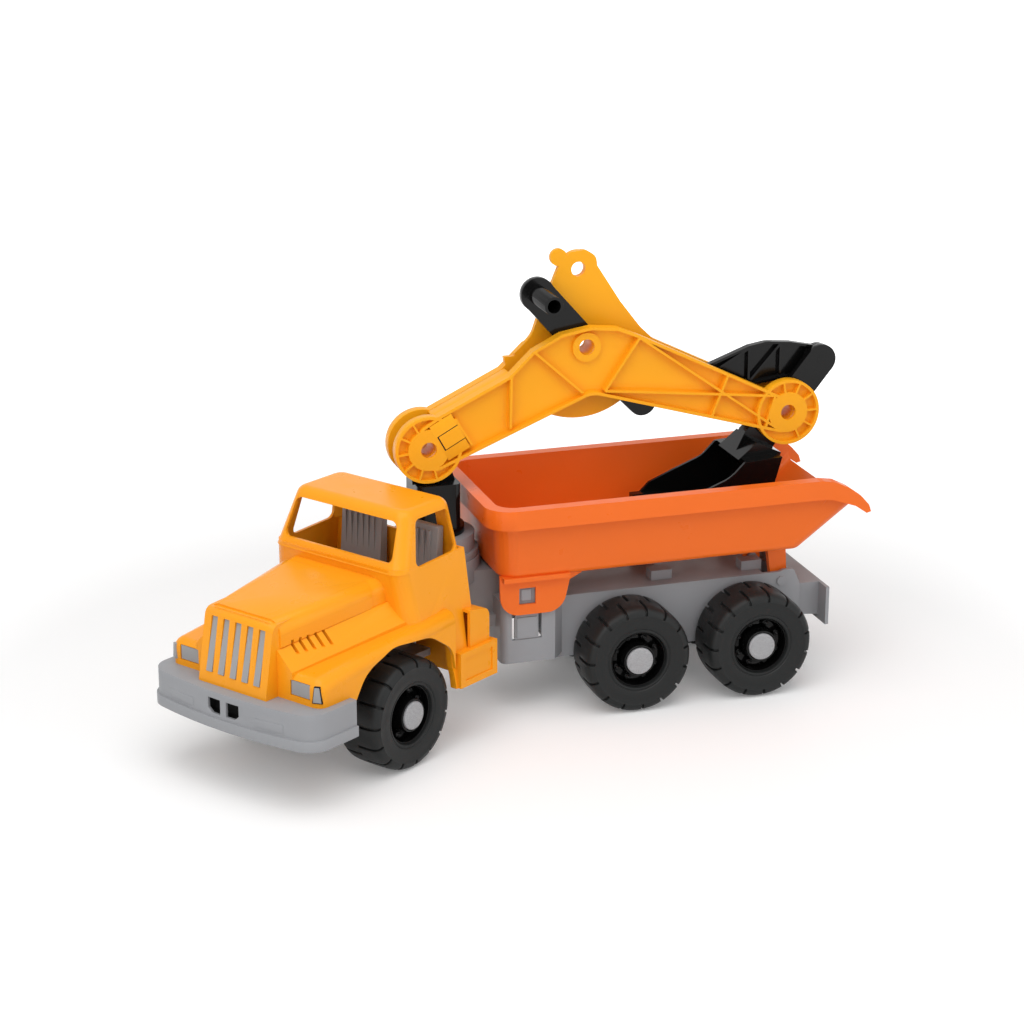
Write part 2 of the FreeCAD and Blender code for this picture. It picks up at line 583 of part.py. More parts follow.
def flat(edge):
    ends = [vertex.Point for vertex in edge.Vertexes]
    return len(ends) == 2 and abs(ends[0].z - ends[1].z) < 0.01


def spans(edge, letter):
    ends = [vertex.Point for vertex in edge.Vertexes]
    return len(ends) == 2 and abs(getattr(ends[0], letter) - getattr(ends[1], letter)) > 40


# ---------------------------------------------------------------- cab

def cab_blocks(inset):
    """The cab's overlapping blocks, each drawn in by inset: glasshouse, doors, bonnet, nose, wings, skirts."""
    hollow = value_of(inset) > 0
    drop = 30 if hollow else 0
    shave = value_of(inset)
    low = S.cab_bottom - drop
    back = S.cab_back + inset
    pillars = lambda edge: rises(edge)
    roof = lambda edge: edge.CenterOfMass.z > SIZES["roof_top"] - 4
    glasshouse = wedge("glasshouse", "Z",
                       (S.sill_z - 4, (back, S.screen_foot + 2 - inset), (-S.sill_half - 0.6 + inset, S.sill_half + 0.6 - inset)),
                       (S.roof_top - inset, (back + 5, S.roof_front - inset), (-S.roof_half + inset, S.roof_half - inset)),
                       [(pillars, 12 - shave), (roof, 9 - shave)], hollow)
    doors = wedge("doors", "Z",
                  (low, (back - 1, S.screen_foot - 14), (-S.door_half - 4 + inset, S.door_half + 4 - inset)),
                  (S.sill_z, (back, S.screen_foot + 2 - inset), (-S.sill_half + inset, S.sill_half - inset)),
                  [(lambda edge: rises(edge) and edge.CenterOfMass.x > 90, 12 - shave)], hollow)
    rear_x = S.cab_back + 55
    nose_x = S.fender_front - inset
    bonnet = wedge("bonnet", "X",
                   (rear_x, (-S.bonnet_rear_half + inset, S.bonnet_rear_half - inset), (low, S.bonnet_rear_top - inset)),
                   (nose_x, (-S.bonnet_front_half - 4 + inset, S.bonnet_front_half + 4 - inset), (low, S.bonnet_front_top - inset)),
                   [(lambda edge: edge.CenterOfMass.z > SIZES["bonnet_front_top"] and spans(edge, "x"), 10 - shave)], hollow)
    wings = wedge("wings", "X",
                  (S.cab_back + 30, (-S.fender_half + inset, S.fender_half - inset), (low, S.fender_top_rear - inset)),
                  (nose_x, (-S.fender_half + 4 + inset, S.fender_half - 4 - inset), (low, S.fender_top_front - inset)),
                  [(lambda edge: spans(edge, "x") and edge.CenterOfMass.z > 90, 10 - shave),
                   (lambda edge: rises(edge) and edge.CenterOfMass.x > 150, 8 - shave)], hollow)
    slope = wedge("slope", "X",
                  (rear_x, (-S.slope_rear_half + inset, S.slope_rear_half - inset), (low, S.slope_rear_top - inset)),
                  (nose_x, (-S.slope_front_half + inset, S.slope_front_half - inset), (low, S.slope_front_top - inset)),
                  [(lambda edge: spans(edge, "x") and edge.CenterOfMass.z > 90, 24)], True)
    half = S.bonnet_front_half + 4
    nose = slab("nose", "Y",
                [(S.bonnet_front - 25, S.bonnet_front_top + 0.6 - inset), (S.bonnet_front + 3 - inset, S.bonnet_front_top - 1 - inset),
                 (S.nose_foot - inset, S.nose_bottom), (S.nose_foot - inset, low + 20), (S.bonnet_front - 25, low + 20)],
                (-half + inset, half - inset), {1: 7 - shave})
    blocks = [glasshouse, doors, bonnet, wings, slope, nose]
    for side in (-1, 1):
        y = sorted((side * (S.door_half - 12 + inset), side * (S.door_half + 3 - inset)), key=value_of)
        upper = slab("skirt", "Y",
                     [(S.cab_back + 10, low), (S.skirt_back + inset, low), (S.skirt_back + inset, S.skirt_top - 4),
                      (S.cab_back + 10, S.skirt_top - inset)], tuple(y), {2: 8 - shave})
        step_y = sorted((side * (S.door_half - 12 + inset), side * (S.skirt_half - inset)), key=value_of)
        step = box("step", (S.skirt_back - 5 + inset, S.skirt_front - 6 - inset), tuple(step_y), (low, S.skirt_top - 31 - inset))
        blocks += [upper, step]
    return fuse("cab_blocks", blocks)


def bonnet_cap():
    """The raised panel that covers the bonnet from the nose to just before the screen."""
    proud = S.cap_proud
    cap = wedge("bonnet_cap", "X",
                (S.cab_back + 55, (-S.bonnet_rear_half - proud, S.bonnet_rear_half + proud), (131, S.bonnet_rear_top + proud)),
                (S.fender_front, (-S.bonnet_front_half - 4 - proud, S.bonnet_front_half + 4 + proud), (119, S.bonnet_front_top + proud)),
                [(lambda edge: edge.CenterOfMass.z > SIZES["bonnet_front_top"] and spans(edge, "x"), 11)])
    keep = slab("cap_plan", "Z", [(S.screen_foot + 12, -54), (S.bonnet_front - 3, -54), (S.bonnet_front - 3, 54),
                                  (S.screen_foot + 12, 54)], (118, 170), {0: 10, 3: 10})
    return common("bonnet_cap", [cap, keep])


def cab_shell():
    outer = fuse("cab_outer", [cab_blocks(0), bonnet_cap()])
    cutters = [cab_blocks(S.cab_wall)]
    sill = S.sill_z + 3.5
    head = S.roof_top - 7.5
    screen = slab("screen", "X", [(-56, sill), (56, sill), (52, head), (-52, head)],
                  (S.roof_front - 14, S.screen_foot + 12), {0: 5, 1: 5, 2: 6, 3: 6})
    sides = slab("side_windows", "Y",
                 [(S.cab_back + 9, S.sill_z), (S.cab_back + 12, head), (S.roof_front - 10, head),
                  (S.screen_foot - 18, S.sill_z - 2.5)], (-90, 90), {0: 5, 1: 5, 2: 5, 3: 5})
    rear = slab("rear_window", "X", [(-44, S.sill_z + 2), (44, S.sill_z + 2), (41, head), (-41, head)],
                (S.cab_back - 10, S.cab_back + 12), {0: 5, 1: 5, 2: 5, 3: 5})
    arch = slab("arch", "Y",
                [(S.front_axle_x - 54, 0), (S.front_axle_x - 52, 60), (S.front_axle_x - 47, 86), (S.front_axle_x - 22, 103),
                 (S.front_axle_x + 18, 106), (S.front_axle_x + 50, 96), (S.front_axle_x + 70, 64), (S.front_axle_x + 74, 0)],
                (-100, 100), {1: 30, 2: 18, 3: 30, 4: 40, 5: 30, 6: 30})
    cutters += [screen, sides, rear, arch]
    for side in (-1, 1):
        panel = sorted((side * (S.skirt_half - 1.2), side * (S.skirt_half + 3)), key=value_of)
        cutters.append(box("step_panel", (S.skirt_back + 1, S.skirt_front - 12), tuple(panel), (S.cab_bottom + 5, S.skirt_top - 36)))
        lamp = sorted((side * 48, side * 67.5))
        cutters.append(box("lamp_hole", (S.fender_front - 12, S.fender_front + 6), tuple(lamp),
                           (S.fender_top_front - 16, S.fender_top_front - 4)))
        for step in range(5):
            x = S.bonnet_front - 45 + 7.4 * step
            span = sorted((side * 22, side * 60))
            cutters.append(box("louvre", (x, x + 2.6), tuple(span), (S.fender_top_front + 11, S.fender_top_front + 21)))
    cutters.append(box("tongue_slot", (S.cab_back - 4, S.cab_back + 6), (-17, 17), (0, S.neck_bottom + 2)))
    cutters.append(box("subframe_gap", (S.fender_front - 22, S.nose_foot + 5), (-36, 36), (0, S.neck_bottom - 2)))
    for step in range(5):
        y = (step - 2) * 12.3
        cutters.append(box("grille_slot", (S.bonnet_front - 20, S.nose_foot + 4), (y - 3.2, y + 3.2),
                           (S.nose_bottom + 7, S.bonnet_front_top - 6)))
    node("cab_shell", cut("cab_shell", outer, cutters), True)


def cab_inside():
    """Subframe with the tongue to the kingpin, seats, and the grey inserts behind the grille and lamps."""
    floor = box("floor", (S.cab_back + 4, S.nose_foot - 8), (-34, 34), (S.neck_bottom - 10, S.neck_bottom - 4))
    tongue_top = S.neck_bottom - S.seat_gap
    tongue = box("tongue", (0, S.cab_back + 6), (-14, 14), (S.neck_bottom - 10, tongue_top))
    end = rod("tongue_end", "Z", 14, (0, 0), (S.neck_bottom - 10, tongue_top))
    blocks = []
    for side in (-1, 1):
        y = sorted((side * 28, side * 38), key=value_of)
        blocks.append(box("axle_block", (S.front_axle_x - 12, S.front_axle_x + 12), tuple(y),
                          (S.tyre_radius - 10, S.neck_bottom - 5)))
    frame = cut("subframe", fuse("subframe_solid", [floor, tongue, end] + blocks),
                [rod("tongue_bore", "Z", S.kingpin_radius + S.running_gap, (0, 0), (0, S.neck_bottom)),
                 rod("axle_hole", "Y", S.axle_radius, (S.front_axle_x, S.tyre_radius), (-60, 60))])
    node("cab_subframe", frame, True)
    backs = []
    for middle in (-29, 29):
        back = slab("seat_back", "Y", [(S.cab_back + 8, S.sill_z - 40), (S.cab_back + 6, S.sill_z + 16), (S.cab_back + 12, S.sill_z + 17),
                                       (S.cab_back + 17, S.sill_z - 40)], (middle - 21, middle + 21), {1: 2, 2: 2})
        ribs = [box("seat_rib", (S.cab_back + 12, S.cab_back + 15), (middle - 18 + 6 * n, middle - 15.4 + 6 * n),
                    (S.sill_z - 36, S.sill_z + 12)) for n in range(6)]
        backs += [back] + ribs
    bench = box("bench", (S.cab_back + 6, S.cab_back + 52), (-50, 50), (S.sill_z - 48, S.sill_z - 39))
    post = box("seat_post", (S.cab_back + 14, S.cab_back + 44), (-20, 20), (S.neck_bottom - 4, S.sill_z - 47))
    node("seat_unit", fuse("seats", backs + [bench, post]), True)
    slats = [slab("slat", "Y", [(S.bonnet_front - 1, S.bonnet_front_top - 6.5), (S.bonnet_front + 2.5, S.bonnet_front_top - 6.5),
                                (S.nose_foot - 0.5, S.nose_bottom + 7.5), (S.nose_foot - 4, S.nose_bottom + 7.5)],
                  ((n - 2) * 12.3 - 2.9, (n - 2) * 12.3 + 2.9)) for n in range(5)]
    plate = slab("grille_plate", "Y", [(S.bonnet_front - 4.5, S.bonnet_front_top - 7), (S.bonnet_front - 0.8, S.bonnet_front_top - 7),
                                       (S.nose_foot - 5.2, S.nose_bottom + 7.5), (S.nose_foot - 8.8, S.nose_bottom + 7.5)], (-26.9, 26.9))
    node("grille_insert", fuse("grille", slats + [plate]), True)
    for name, side in (("left", 1), ("right", -1)):
        y = sorted((side * 48.4, side * 67.1))
        back = sorted((side * 45, side * 68.6))
        lamp = box("lamp", (S.fender_front - 8, S.fender_front - 0.6), tuple(y), (S.fender_top_front - 15.6, S.fender_top_front - 4.4))
        plate = box("lamp_plate", (S.fender_front - 6, S.fender_front - S.cab_wall - 0.3), tuple(back),
                    (S.fender_top_front - 19, S.fender_top_front - 5))
        node(f"lamp_insert_{name}", fuse("lamp", [lamp, plate]), True)


def front_bumper():
    half = S.front_bumper_half
    corner = S.front_bumper_x - S.front_bumper_sweep
    plan = [(S.front_bumper_back, -half), (corner - 12, -half), (corner, -half + 10), (S.front_bumper_x, -30), (S.front_bumper_x, 30),
            (corner, half - 10), (corner - 12, half), (S.front_bumper_back, half)]
    outer = slab("bumper", "Z", plan, (S.front_bumper_low, S.front_bumper_high), {1: 8, 2: 8, 5: 8, 6: 8})
    space = slab("bumper_space", "Z",
                 [(S.front_bumper_back - 1, -half + 4), (corner - 13, -half + 4), (corner - 5, -half + 12), (S.front_bumper_x - 5, -29),
                  (S.front_bumper_x - 5, 29), (corner - 5, half - 12), (corner - 13, half - 4), (S.front_bumper_back - 1, half - 4)],
                 (S.front_bumper_low - 1, S.front_bumper_high + 1))
    holes = []
    for low, high in ((-16, -3), (3, 16)):
        holes.append(slab("tow_hole", "X", [(low + 2, S.front_bumper_low + 8), (high - 2, S.front_bumper_low + 8), (high, S.front_bumper_low + 19),
                                            (low, S.front_bumper_low + 19)], (S.front_bumper_x - 12, S.front_bumper_x + 4)))
    brackets = [box("bracket", (S.nose_foot - 14, S.front_bumper_x - 4), y, (S.neck_bottom - 13.6, S.neck_bottom - 10.3))
                for y in ((-32, -22), (22, 32))]
    node("front_bumper", cut("front_bumper", fuse("bumper_solid", [cut("bumper_shell", outer, [space])] + brackets), holes), True)


# ---------------------------------------------------------------- excavator

def boom_plate(name, side):
    """A ribbed moulding: shelled web, end hub discs with radial ribs, knee disc; the right one has the horn."""
    half = S.boom_gap / 2
    near = [half, half + S.boom_plate]
    low, high = (near[0], near[1]) if side > 0 else (-near[1], -near[0])
    root, knee, wrist = (S.root_x, S.root_z), (S.knee_x, S.knee_z), (S.wrist_x, S.wrist_z)
    outline = [(S.root_x - 7, S.root_z - 18), (S.knee_x - 4, S.knee_z - 38.5), (S.wrist_x + 6, S.wrist_z - 17),
               (S.wrist_x - 8, S.wrist_z - 12), (S.wrist_x - 8, S.wrist_z + 12), (S.wrist_x + 8, S.wrist_z + 15),
               (S.knee_x - 44, S.knee_z + 7), (S.knee_x - 26, S.knee_z + 14.5), (S.knee_x - 3, S.knee_z + 17),
               (S.knee_x + 22, S.knee_z + 13), (S.knee_x + 46, S.knee_z + 1), (S.knee_x + 66, S.knee_z - 18),
               (S.root_x - 8, S.root_z + 27), (S.root_x + 8, S.root_z + 17), (S.root_x + 10, S.root_z - 14)]
    arm = slab("arm", "Y", outline, (low, high), {1: 20, 3: 8, 4: 8, 13: 10, 14: 10})
    open_y = high if side > 0 else low
    arm = shelled(arm, lambda face: abs(face.CenterOfMass.y - value_of(open_y)) < 0.001, S.boom_rib)
    web = (low, low + S.boom_rib) if side > 0 else (high - S.boom_rib, high)
    tall = (low, high)
    pieces = [arm]
    for (x, z), first in ((root, -105), (wrist, 80)):
        disc = cut("hub_disc", rod("hub_disc", "Y", S.hub_disc, (x, z), tall),
                   [cut("hub_recess", rod("hub_recess", "Y", S.hub_disc - S.boom_rib, (x, z),
                                          (high - 5, high + 1) if side > 0 else (low - 1, low + 5)),
                        [rod("hub_core", "Y", 17, (x, z), (low - 2, high + 2))])])
        pieces.append(disc)
        for step in range(6):
            angle = math.radians(first + 33 * step)
            ends = [(x + r * math.cos(angle), z + r * math.sin(angle)) for r in (16, SIZES["hub_disc"] - 1)]
            pieces.append(bar("hub_rib", *ends, tall, 1.6))
    pieces.append(rod("knee_boss", "Y", 12, knee, (low, high - 3) if side > 0 else (low + 3, high)))
    at = lambda point, dx, dz: (point[0] + dx, point[1] + dz)
    ribs = [(at(root, -22, 24), at(root, -36, 1)), (at(root, -69, 55), at(root, -68, 12)), (at(knee, 45, 0), at(knee, 4, -37)),
            (at(knee, -44, 5), at(knee, -15, -37)), (at(knee, -44, 5), at(wrist, 11, -12)), (at(knee, -15, -37), at(wrist, 12, 15)),
            (at(wrist, 54, 37), at(wrist, 68, 2)), (at(wrist, 12, 15), at(wrist, 20, -12))]
    for start, end in ribs:
        pieces.append(bar("web_rib", start, end, tall, 2.0))
    if side < 0:
        horn = slab("horn", "Y",
                    [(S.horn_x - 36, S.horn_z - 29), (S.horn_x - 16, S.horn_z + 2), (S.horn_x - 15, S.horn_z + 10), (S.horn_x - 6, S.horn_z + 15.5),
                     (S.horn_x + 7, S.horn_z + 14.5), (S.horn_x + 16, S.horn_z + 5), (S.horn_x + 21, S.horn_z - 7), (S.knee_x + 36, S.knee_z + 20),
                     (S.knee_x + 40, S.knee_z + 8), (S.knee_x + 55, S.knee_z - 6), (S.knee_x, S.knee_z - 20), (S.knee_x - 64, S.knee_z - 3),
                     (S.horn_x - 53, S.horn_z - 51)], (-half - 5, -half), {2: 8, 3: 8, 4: 6, 8: 20})
        pieces.append(horn)
        belly = rod("belly", "Y", S.web_disc, knee, (-half - 5, -half))
        lower = box("belly_half", (S.knee_x - 70, S.knee_x + 70), (-half - 6, -half + 1), (S.knee_z - 70, S.knee_z - 8))
        pieces.append(common("belly_disc", [belly, lower]))
        pieces.append(rod("lug", "Y", 7, (S.horn_x + 16.5, S.horn_z + 10.5), (-half - 5, -half)))
        pieces.append(rod("horn_boss", "Y", 15, (S.horn_x, S.horn_z), (-half - 7, -half)))
    seat = half + S.tube_seat
    bores = [rod("tube_seat", "Y", S.bore_radius + S.tube_wall, spot, (-seat, seat)) for spot in (knee, wrist, root)]
    bores += [rod("bore", "Y", S.bore_radius, spot, (-40, 40)) for spot in (knee, wrist, root)]
    bores.append(rod("horn_bore", "Y", S.horn_bore, (S.horn_x, S.horn_z), (-40, 40)))
    node(name, cut(name, fuse(name + "_solid", pieces), bores))


def tube(name, x, z):
    """A hollow pivot through both boom plates."""
    end = S.boom_gap / 2 + S.tube_seat
    outer = rod("tube", "Y", S.bore_radius + S.tube_wall, (x, z), (-end, end))
    node(name, cut(name, outer, [rod("tube_bore", "Y", S.bore_radius, (x, z), (-end - 1, end + 1))]))


def tower():
    """The black turret: spigot in the ring, square column and the tongue between the boom plates."""
    half = S.tower_width / 2
    tongue = S.boom_gap / 2 - 0.6
    spigot = rod("spigot", "Z", S.ring_radius - 10, (0, 0), (S.pedestal_top + 3.3, S.ring_top + S.seat_gap))
    collar = rod("collar", "Z", 25, (0, 0), (S.ring_top + S.seat_gap, S.ring_top + 6))
    column = slab("column", "Z", [(-half + 2, -half), (half - 2, -half), (half - 2, half), (-half + 2, half)],
                  (S.ring_top + 5, S.root_z - S.hub_disc - 1.5), {0: 5, 1: 5, 2: 5, 3: 5})
    blade = slab("tower_blade", "Y", [(-half + 3, S.root_z - S.hub_disc - 3), (half - 1, S.root_z - S.hub_disc - 3), (S.root_x + 14, S.root_z),
                                      (S.root_x - 14, S.root_z)], (-tongue, tongue))
    eye = rod("tower_eye", "Y", 16, (S.root_x, S.root_z), (-tongue, tongue))
    bore = rod("tower_bore", "Y", S.bore_radius + S.tube_wall + S.running_gap, (S.root_x, S.root_z), (-30, 30))
    node("tower", cut("tower", fuse("tower_solid", [spigot, collar, column, blade, eye]), [bore]))
    tube("boom_pivot_tube", S.root_x, S.root_z)


def lever():
    """The hand lever between the plates, with its hollow peg out to the left."""
    low, high = S.side_gap - 0.6, S.boom_gap / 2 - 0.6
    dx, dz = value_of(S.lever_tip_x - S.knee_x), value_of(S.lever_tip_z - S.knee_z)
    run = math.hypot(dx, dz)
    nx, nz = -dz / run * 13.5, dx / run * 13.5
    ex, ez = value_of(S.link_front_x - S.knee_x), value_of(S.link_front_z - S.knee_z)
    rest = math.hypot(ex, ez)
    mx, mz = -ez / rest * 12, ex / rest * 12
    upper = slab("lever_upper", "Y", [(S.lever_tip_x + nx, S.lever_tip_z + nz), (S.knee_x + nx, S.knee_z + nz), (S.knee_x - nx, S.knee_z - nz),
                                      (S.lever_tip_x - nx, S.lever_tip_z - nz)], (low, high))
    lower = slab("lever_lower", "Y", [(S.link_front_x + mx, S.link_front_z + mz), (S.knee_x + mx, S.knee_z + mz), (S.knee_x - mx, S.knee_z - mz),
                                      (S.link_front_x - mx, S.link_front_z - mz)], (low, high))
    tip = rod("lever_tip", "Y", S.lever_tip_radius, (S.lever_tip_x, S.lever_tip_z), (low, high))
    eye = rod("lever_eye", "Y", 16, (S.knee_x, S.knee_z), (low, high))
    end = rod("lever_end", "Y", 12, (S.link_front_x, S.link_front_z), (low, high))
    peg = rod("peg", "Y", S.peg_radius, (S.lever_tip_x, S.lever_tip_z), (low, high + S.peg_length))
    peg_hole = rod("peg_hole", "Y", S.peg_radius - 2.2, (S.lever_tip_x, S.lever_tip_z), (high, high + S.peg_length + 1))
    bore = rod("lever_bore", "Y", S.bore_radius + S.tube_wall + S.running_gap, (S.knee_x, S.knee_z), (-20, 20))
    pin_hole = rod("lever_pin_hole", "Y", S.link_pin_radius, (S.link_front_x, S.link_front_z), (-20, 20))
    node("lever", cut("lever", fuse("lever_solid", [upper, lower, tip, eye, end, peg]), [peg_hole, bore, pin_hole]))
    node("link_pin_front", rod("link_pin_front", "Y", S.link_pin_radius, (S.link_front_x, S.link_front_z), (-high, high)))


def link():
    """The humped trussed bar from the lever to the bucket ear."""
    low, high = -S.boom_gap / 2 + 0.6, -S.side_gap + 0.6
    a, b = (S.link_front_x, S.link_front_z), (S.link_rear_x, S.link_rear_z)
    outline = [(a[0] + 6, a[1] - 9), (b[0] - 2, b[1] - 11.5), (b[0] - 9, b[1] + 6), (b[0] + 4, b[1] + 11), (b[0] + 25, b[1] + 15.5),
               (b[0] + 46, b[1] + 17.5), (b[0] + 62, b[1] + 15), (a[0] + 60 - 120, a[1] + 24), (a[0], a[1] + 10.5)]
    plate = slab("link", "Y", outline, (low, high), {1: 6, 2: 6, 5: 25, 7: 40})
    plate = shelled(plate, lambda face: abs(face.CenterOfMass.y - value_of(high)) < 0.001, 2)
    front = rod("link_eye", "Y", 10.5, a, (low, high))
    rear = rod("link_eye", "Y", 12, b, (low, high))
    ribs = [bar("link_rib", (a[0] - 40, a[1] + 4), (b[0] + 62, b[1] + 13), (low, high), 2),
            bar("link_rib", (b[0] + 62, b[1] - 16), (b[0] + 62, b[1] + 13), (low, high), 2),
            bar("link_rib", (b[0] + 62, b[1] - 16), (b[0] + 34, b[1] + 15), (low, high), 2),
            bar("link_rib", (b[0] + 34, b[1] - 12), (b[0] + 34, b[1] + 15), (low, high), 2)]
    holes = [rod("link_hole", "Y", S.link_pin_radius + S.running_gap, a, (-20, 20)),
             rod("link_slot", "Y", S.link_pin_radius + 3.9, b, (-20, 20))]
    node("link", cut("link", fuse("link_solid", [plate, front, rear] + ribs), holes))


def bucket():
    """The scoop: round-backed tray with scooped side plates, teeth, a neck to the wrist and the link ear."""
    half = S.bucket_half
    wx, wz = S.wrist_x, S.wrist_z
    side_view = [(wx + 12, wz - 32), (wx + 45, wz - 34), (wx + 57, wz - 46), (wx + 80, wz - 55), (wx + 104, wz - 65), (wx + 114, wz - 75),
                 (wx + 70, wz - 79), (wx + 34, wz - 74), (wx + 20, wz - 60)]
    tray = slab("bucket", "Y", side_view, (-half, half), {2: 20, 6: 40, 7: 14, 8: 14})
    wall = S.bucket_wall
    space = slab("bucket_space", "Y",
                 [(wx + 46 + 0, wz - 20), (wx + 45 - 2, wz - 34 - wall), (wx + 24, wz - 60), (wx + 36, wz - 71), (wx + 70, wz - 76),
                  (wx + 112, wz - 73), (wx + 140, wz - 60), (wx + 140, wz - 20)], (-half + wall, half - wall), {2: 12, 3: 12})
    shell = cut("bucket_shell", tray, [space])
    tongue = (S.side_gap - 0.6, S.boom_gap / 2 - 0.6)
    full = (-tongue[1], tongue[1])
    neck = slab("neck", "Y", [(wx - 11, wz - 4), (wx + 12, wz - 36), (wx + 22, wz - 60), (wx + 44, wz - 36), (wx + 34, wz - 16), (wx + 11, wz + 4)],
                full)
    back = slab("neck_foot", "Y", [(wx + 8, wz - 32), (wx + 19, wz - 60), (wx + 23, wz - 60), (wx + 46, wz - 35), (wx + 30, wz - 22)], (-22, 22))
    ex, ez = value_of(S.link_rear_x - wx), value_of(S.link_rear_z - wz)
    run = math.hypot(ex, ez)
    nx, nz = -ez / run * 12.7, ex / run * 12.7
    ear = slab("ear", "Y", [(S.link_rear_x + nx, S.link_rear_z + nz), (wx + nx, wz + nz), (wx - nx, wz - nz), (S.link_rear_x - nx, S.link_rear_z - nz)],
               tongue)
    tip = rod("ear_tip", "Y", S.ear_radius, (S.link_rear_x, S.link_rear_z), tongue)
    eye = rod("bucket_eye", "Y", 15, (wx, wz), full)
    teeth = [box("tooth", (wx + 110, wx + 121), (y - 4, y + 4), (wz - 77.5, wz - 72.5)) for y in (-29, -9.7, 9.7, 29)]
    bore = rod("bucket_bore", "Y", S.bore_radius + S.tube_wall + S.running_gap, (wx, wz), (-20, 20))
    pin_hole = rod("ear_pin_hole", "Y", S.link_pin_radius, (S.link_rear_x, S.link_rear_z), (-20, 20))
    node("bucket", cut("bucket", fuse("bucket_solid", [shell, neck, back, ear, tip, eye] + teeth), [bore, pin_hole]))
    node("link_pin_rear", rod("link_pin_rear", "Y", S.link_pin_radius, (S.link_rear_x, S.link_rear_z), (-tongue[1], tongue[1])))


chassis()
latch("latch_left", 1)
latch("latch_right", -1)
bed()
cab_shell()
cab_inside()
front_bumper()
axle("front", S.front_axle_x, True)
caps("front_hub_caps", (S.front_axle_x,), True)
for place, x, turned in (("front", S.front_axle_x, True), ("mid", S.mid_axle_x, False), ("rear", S.rear_axle_x, False)):
    wheel(f"{place}_left", x, 1, turned)
    wheel(f"{place}_right", x, -1, turned)
tower()
boom_plate("boom_plate_left", 1)
boom_plate("boom_plate_right", -1)
tube("lever_pivot_tube", S.knee_x, S.knee_z)
tube("bucket_pivot_tube", S.wrist_x, S.wrist_z)
lever()
link()
bucket()
doc.recompute()

for item in doc.Objects:
    if "Invalid" in item.State or "Error" in item.State:
        raise RuntimeError(f"{item.Name} ({item.Label}) failed: {item.State}")
os.makedirs("parts", exist_ok=True)
total = None
for name, item in nodes.items():
    shape = item.Shape
    if shape.isNull() or not shape.isValid():
        raise RuntimeError(f"{name} is not a valid shape")
    shape.exportStep(f"parts/{name}.step")
    limits = shape.BoundBox
    total = limits if total is None else total.united(limits) if hasattr(total, "united") else total
    print(name, len(shape.Solids), "solids, volume", round(shape.Volume), "box",
          [round(v, 1) for v in (limits.XMin, limits.XMax, limits.YMin, limits.YMax, limits.ZMin, limits.ZMax)])
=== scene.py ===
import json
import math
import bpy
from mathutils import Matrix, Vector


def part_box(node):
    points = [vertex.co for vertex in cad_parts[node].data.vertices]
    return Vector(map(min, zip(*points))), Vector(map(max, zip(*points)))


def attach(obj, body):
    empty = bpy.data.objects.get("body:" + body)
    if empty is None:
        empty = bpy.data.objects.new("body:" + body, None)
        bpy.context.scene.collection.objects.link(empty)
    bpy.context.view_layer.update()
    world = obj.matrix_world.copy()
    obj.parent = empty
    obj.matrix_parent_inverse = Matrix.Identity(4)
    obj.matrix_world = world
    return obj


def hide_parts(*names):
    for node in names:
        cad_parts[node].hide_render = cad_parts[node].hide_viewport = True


bl_info = {
    "name": "Toy Tipper Truck",
    "version": (1, 0, 0),
    "blender": (4, 5, 0),
    "location": "View3D > Sidebar > Toy Truck",
    "description": "Dresses a moulded plastic tipper truck with a digger arm",
    "category": "Add Mesh",
}

import bmesh
import bpy
from bpy.props import FloatProperty, FloatVectorProperty, PointerProperty
from bpy.types import Operator, Panel, PropertyGroup
from mathutils import Matrix, Vector

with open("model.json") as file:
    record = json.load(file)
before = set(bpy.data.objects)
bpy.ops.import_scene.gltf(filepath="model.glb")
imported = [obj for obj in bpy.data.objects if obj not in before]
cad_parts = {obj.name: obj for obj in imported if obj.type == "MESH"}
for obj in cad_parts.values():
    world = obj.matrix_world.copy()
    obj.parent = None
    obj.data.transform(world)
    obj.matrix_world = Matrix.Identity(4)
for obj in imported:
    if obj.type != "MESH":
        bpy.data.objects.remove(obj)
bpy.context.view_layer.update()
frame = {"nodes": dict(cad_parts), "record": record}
NODES = frame["nodes"]

WHEELS = ("front_left", "front_right", "mid_left", "mid_right", "rear_left", "rear_right")
# where the cab turns on the chassis, in metres, and how far to the left it is turned at rest
STEER_AXIS = (0.05634, -0.05515, 0)
CAB_TURN = math.radians(33.7)
# the tyre's sectors, how many make one tread block and its groove, and the groove's place and depth
TREAD_SECTORS = 120
TREAD_PITCH = 8
TREAD_INNER_RADIUS = 0.0383
GROOVE_DEPTH = 0.0026
RIM_BOSSES = 8
CAP_RADIUS = 0.0112
# faces that meet at less than this many degrees are shaded as one curve
SMOOTH_DEGREES = 32
# the boom's rise at rest, and that of the band between its plates, in degrees
BOOM_RISE = 28.8
BAND_RISE = 25.6
# the bumper's half width and how far its ends are bowed back, in metres
BUMPER_HALF = 0.085
BUMPER_BOW = 0.009
SENSOR_WIDTH = 36
CAMERA_SPOT = (0.61684, 1.91545, 0.8432)
CAMERA_BACK = (0.28772, 0.90410, 0.31593)
LAMP_TARGET = (0, 0, 0.1)


def colour(name, description, default):
    """A colour that the sidebar can change."""
    return FloatVectorProperty(name=name, description=description, default=default, subtype="COLOR",
                               size=3, min=0, max=1)


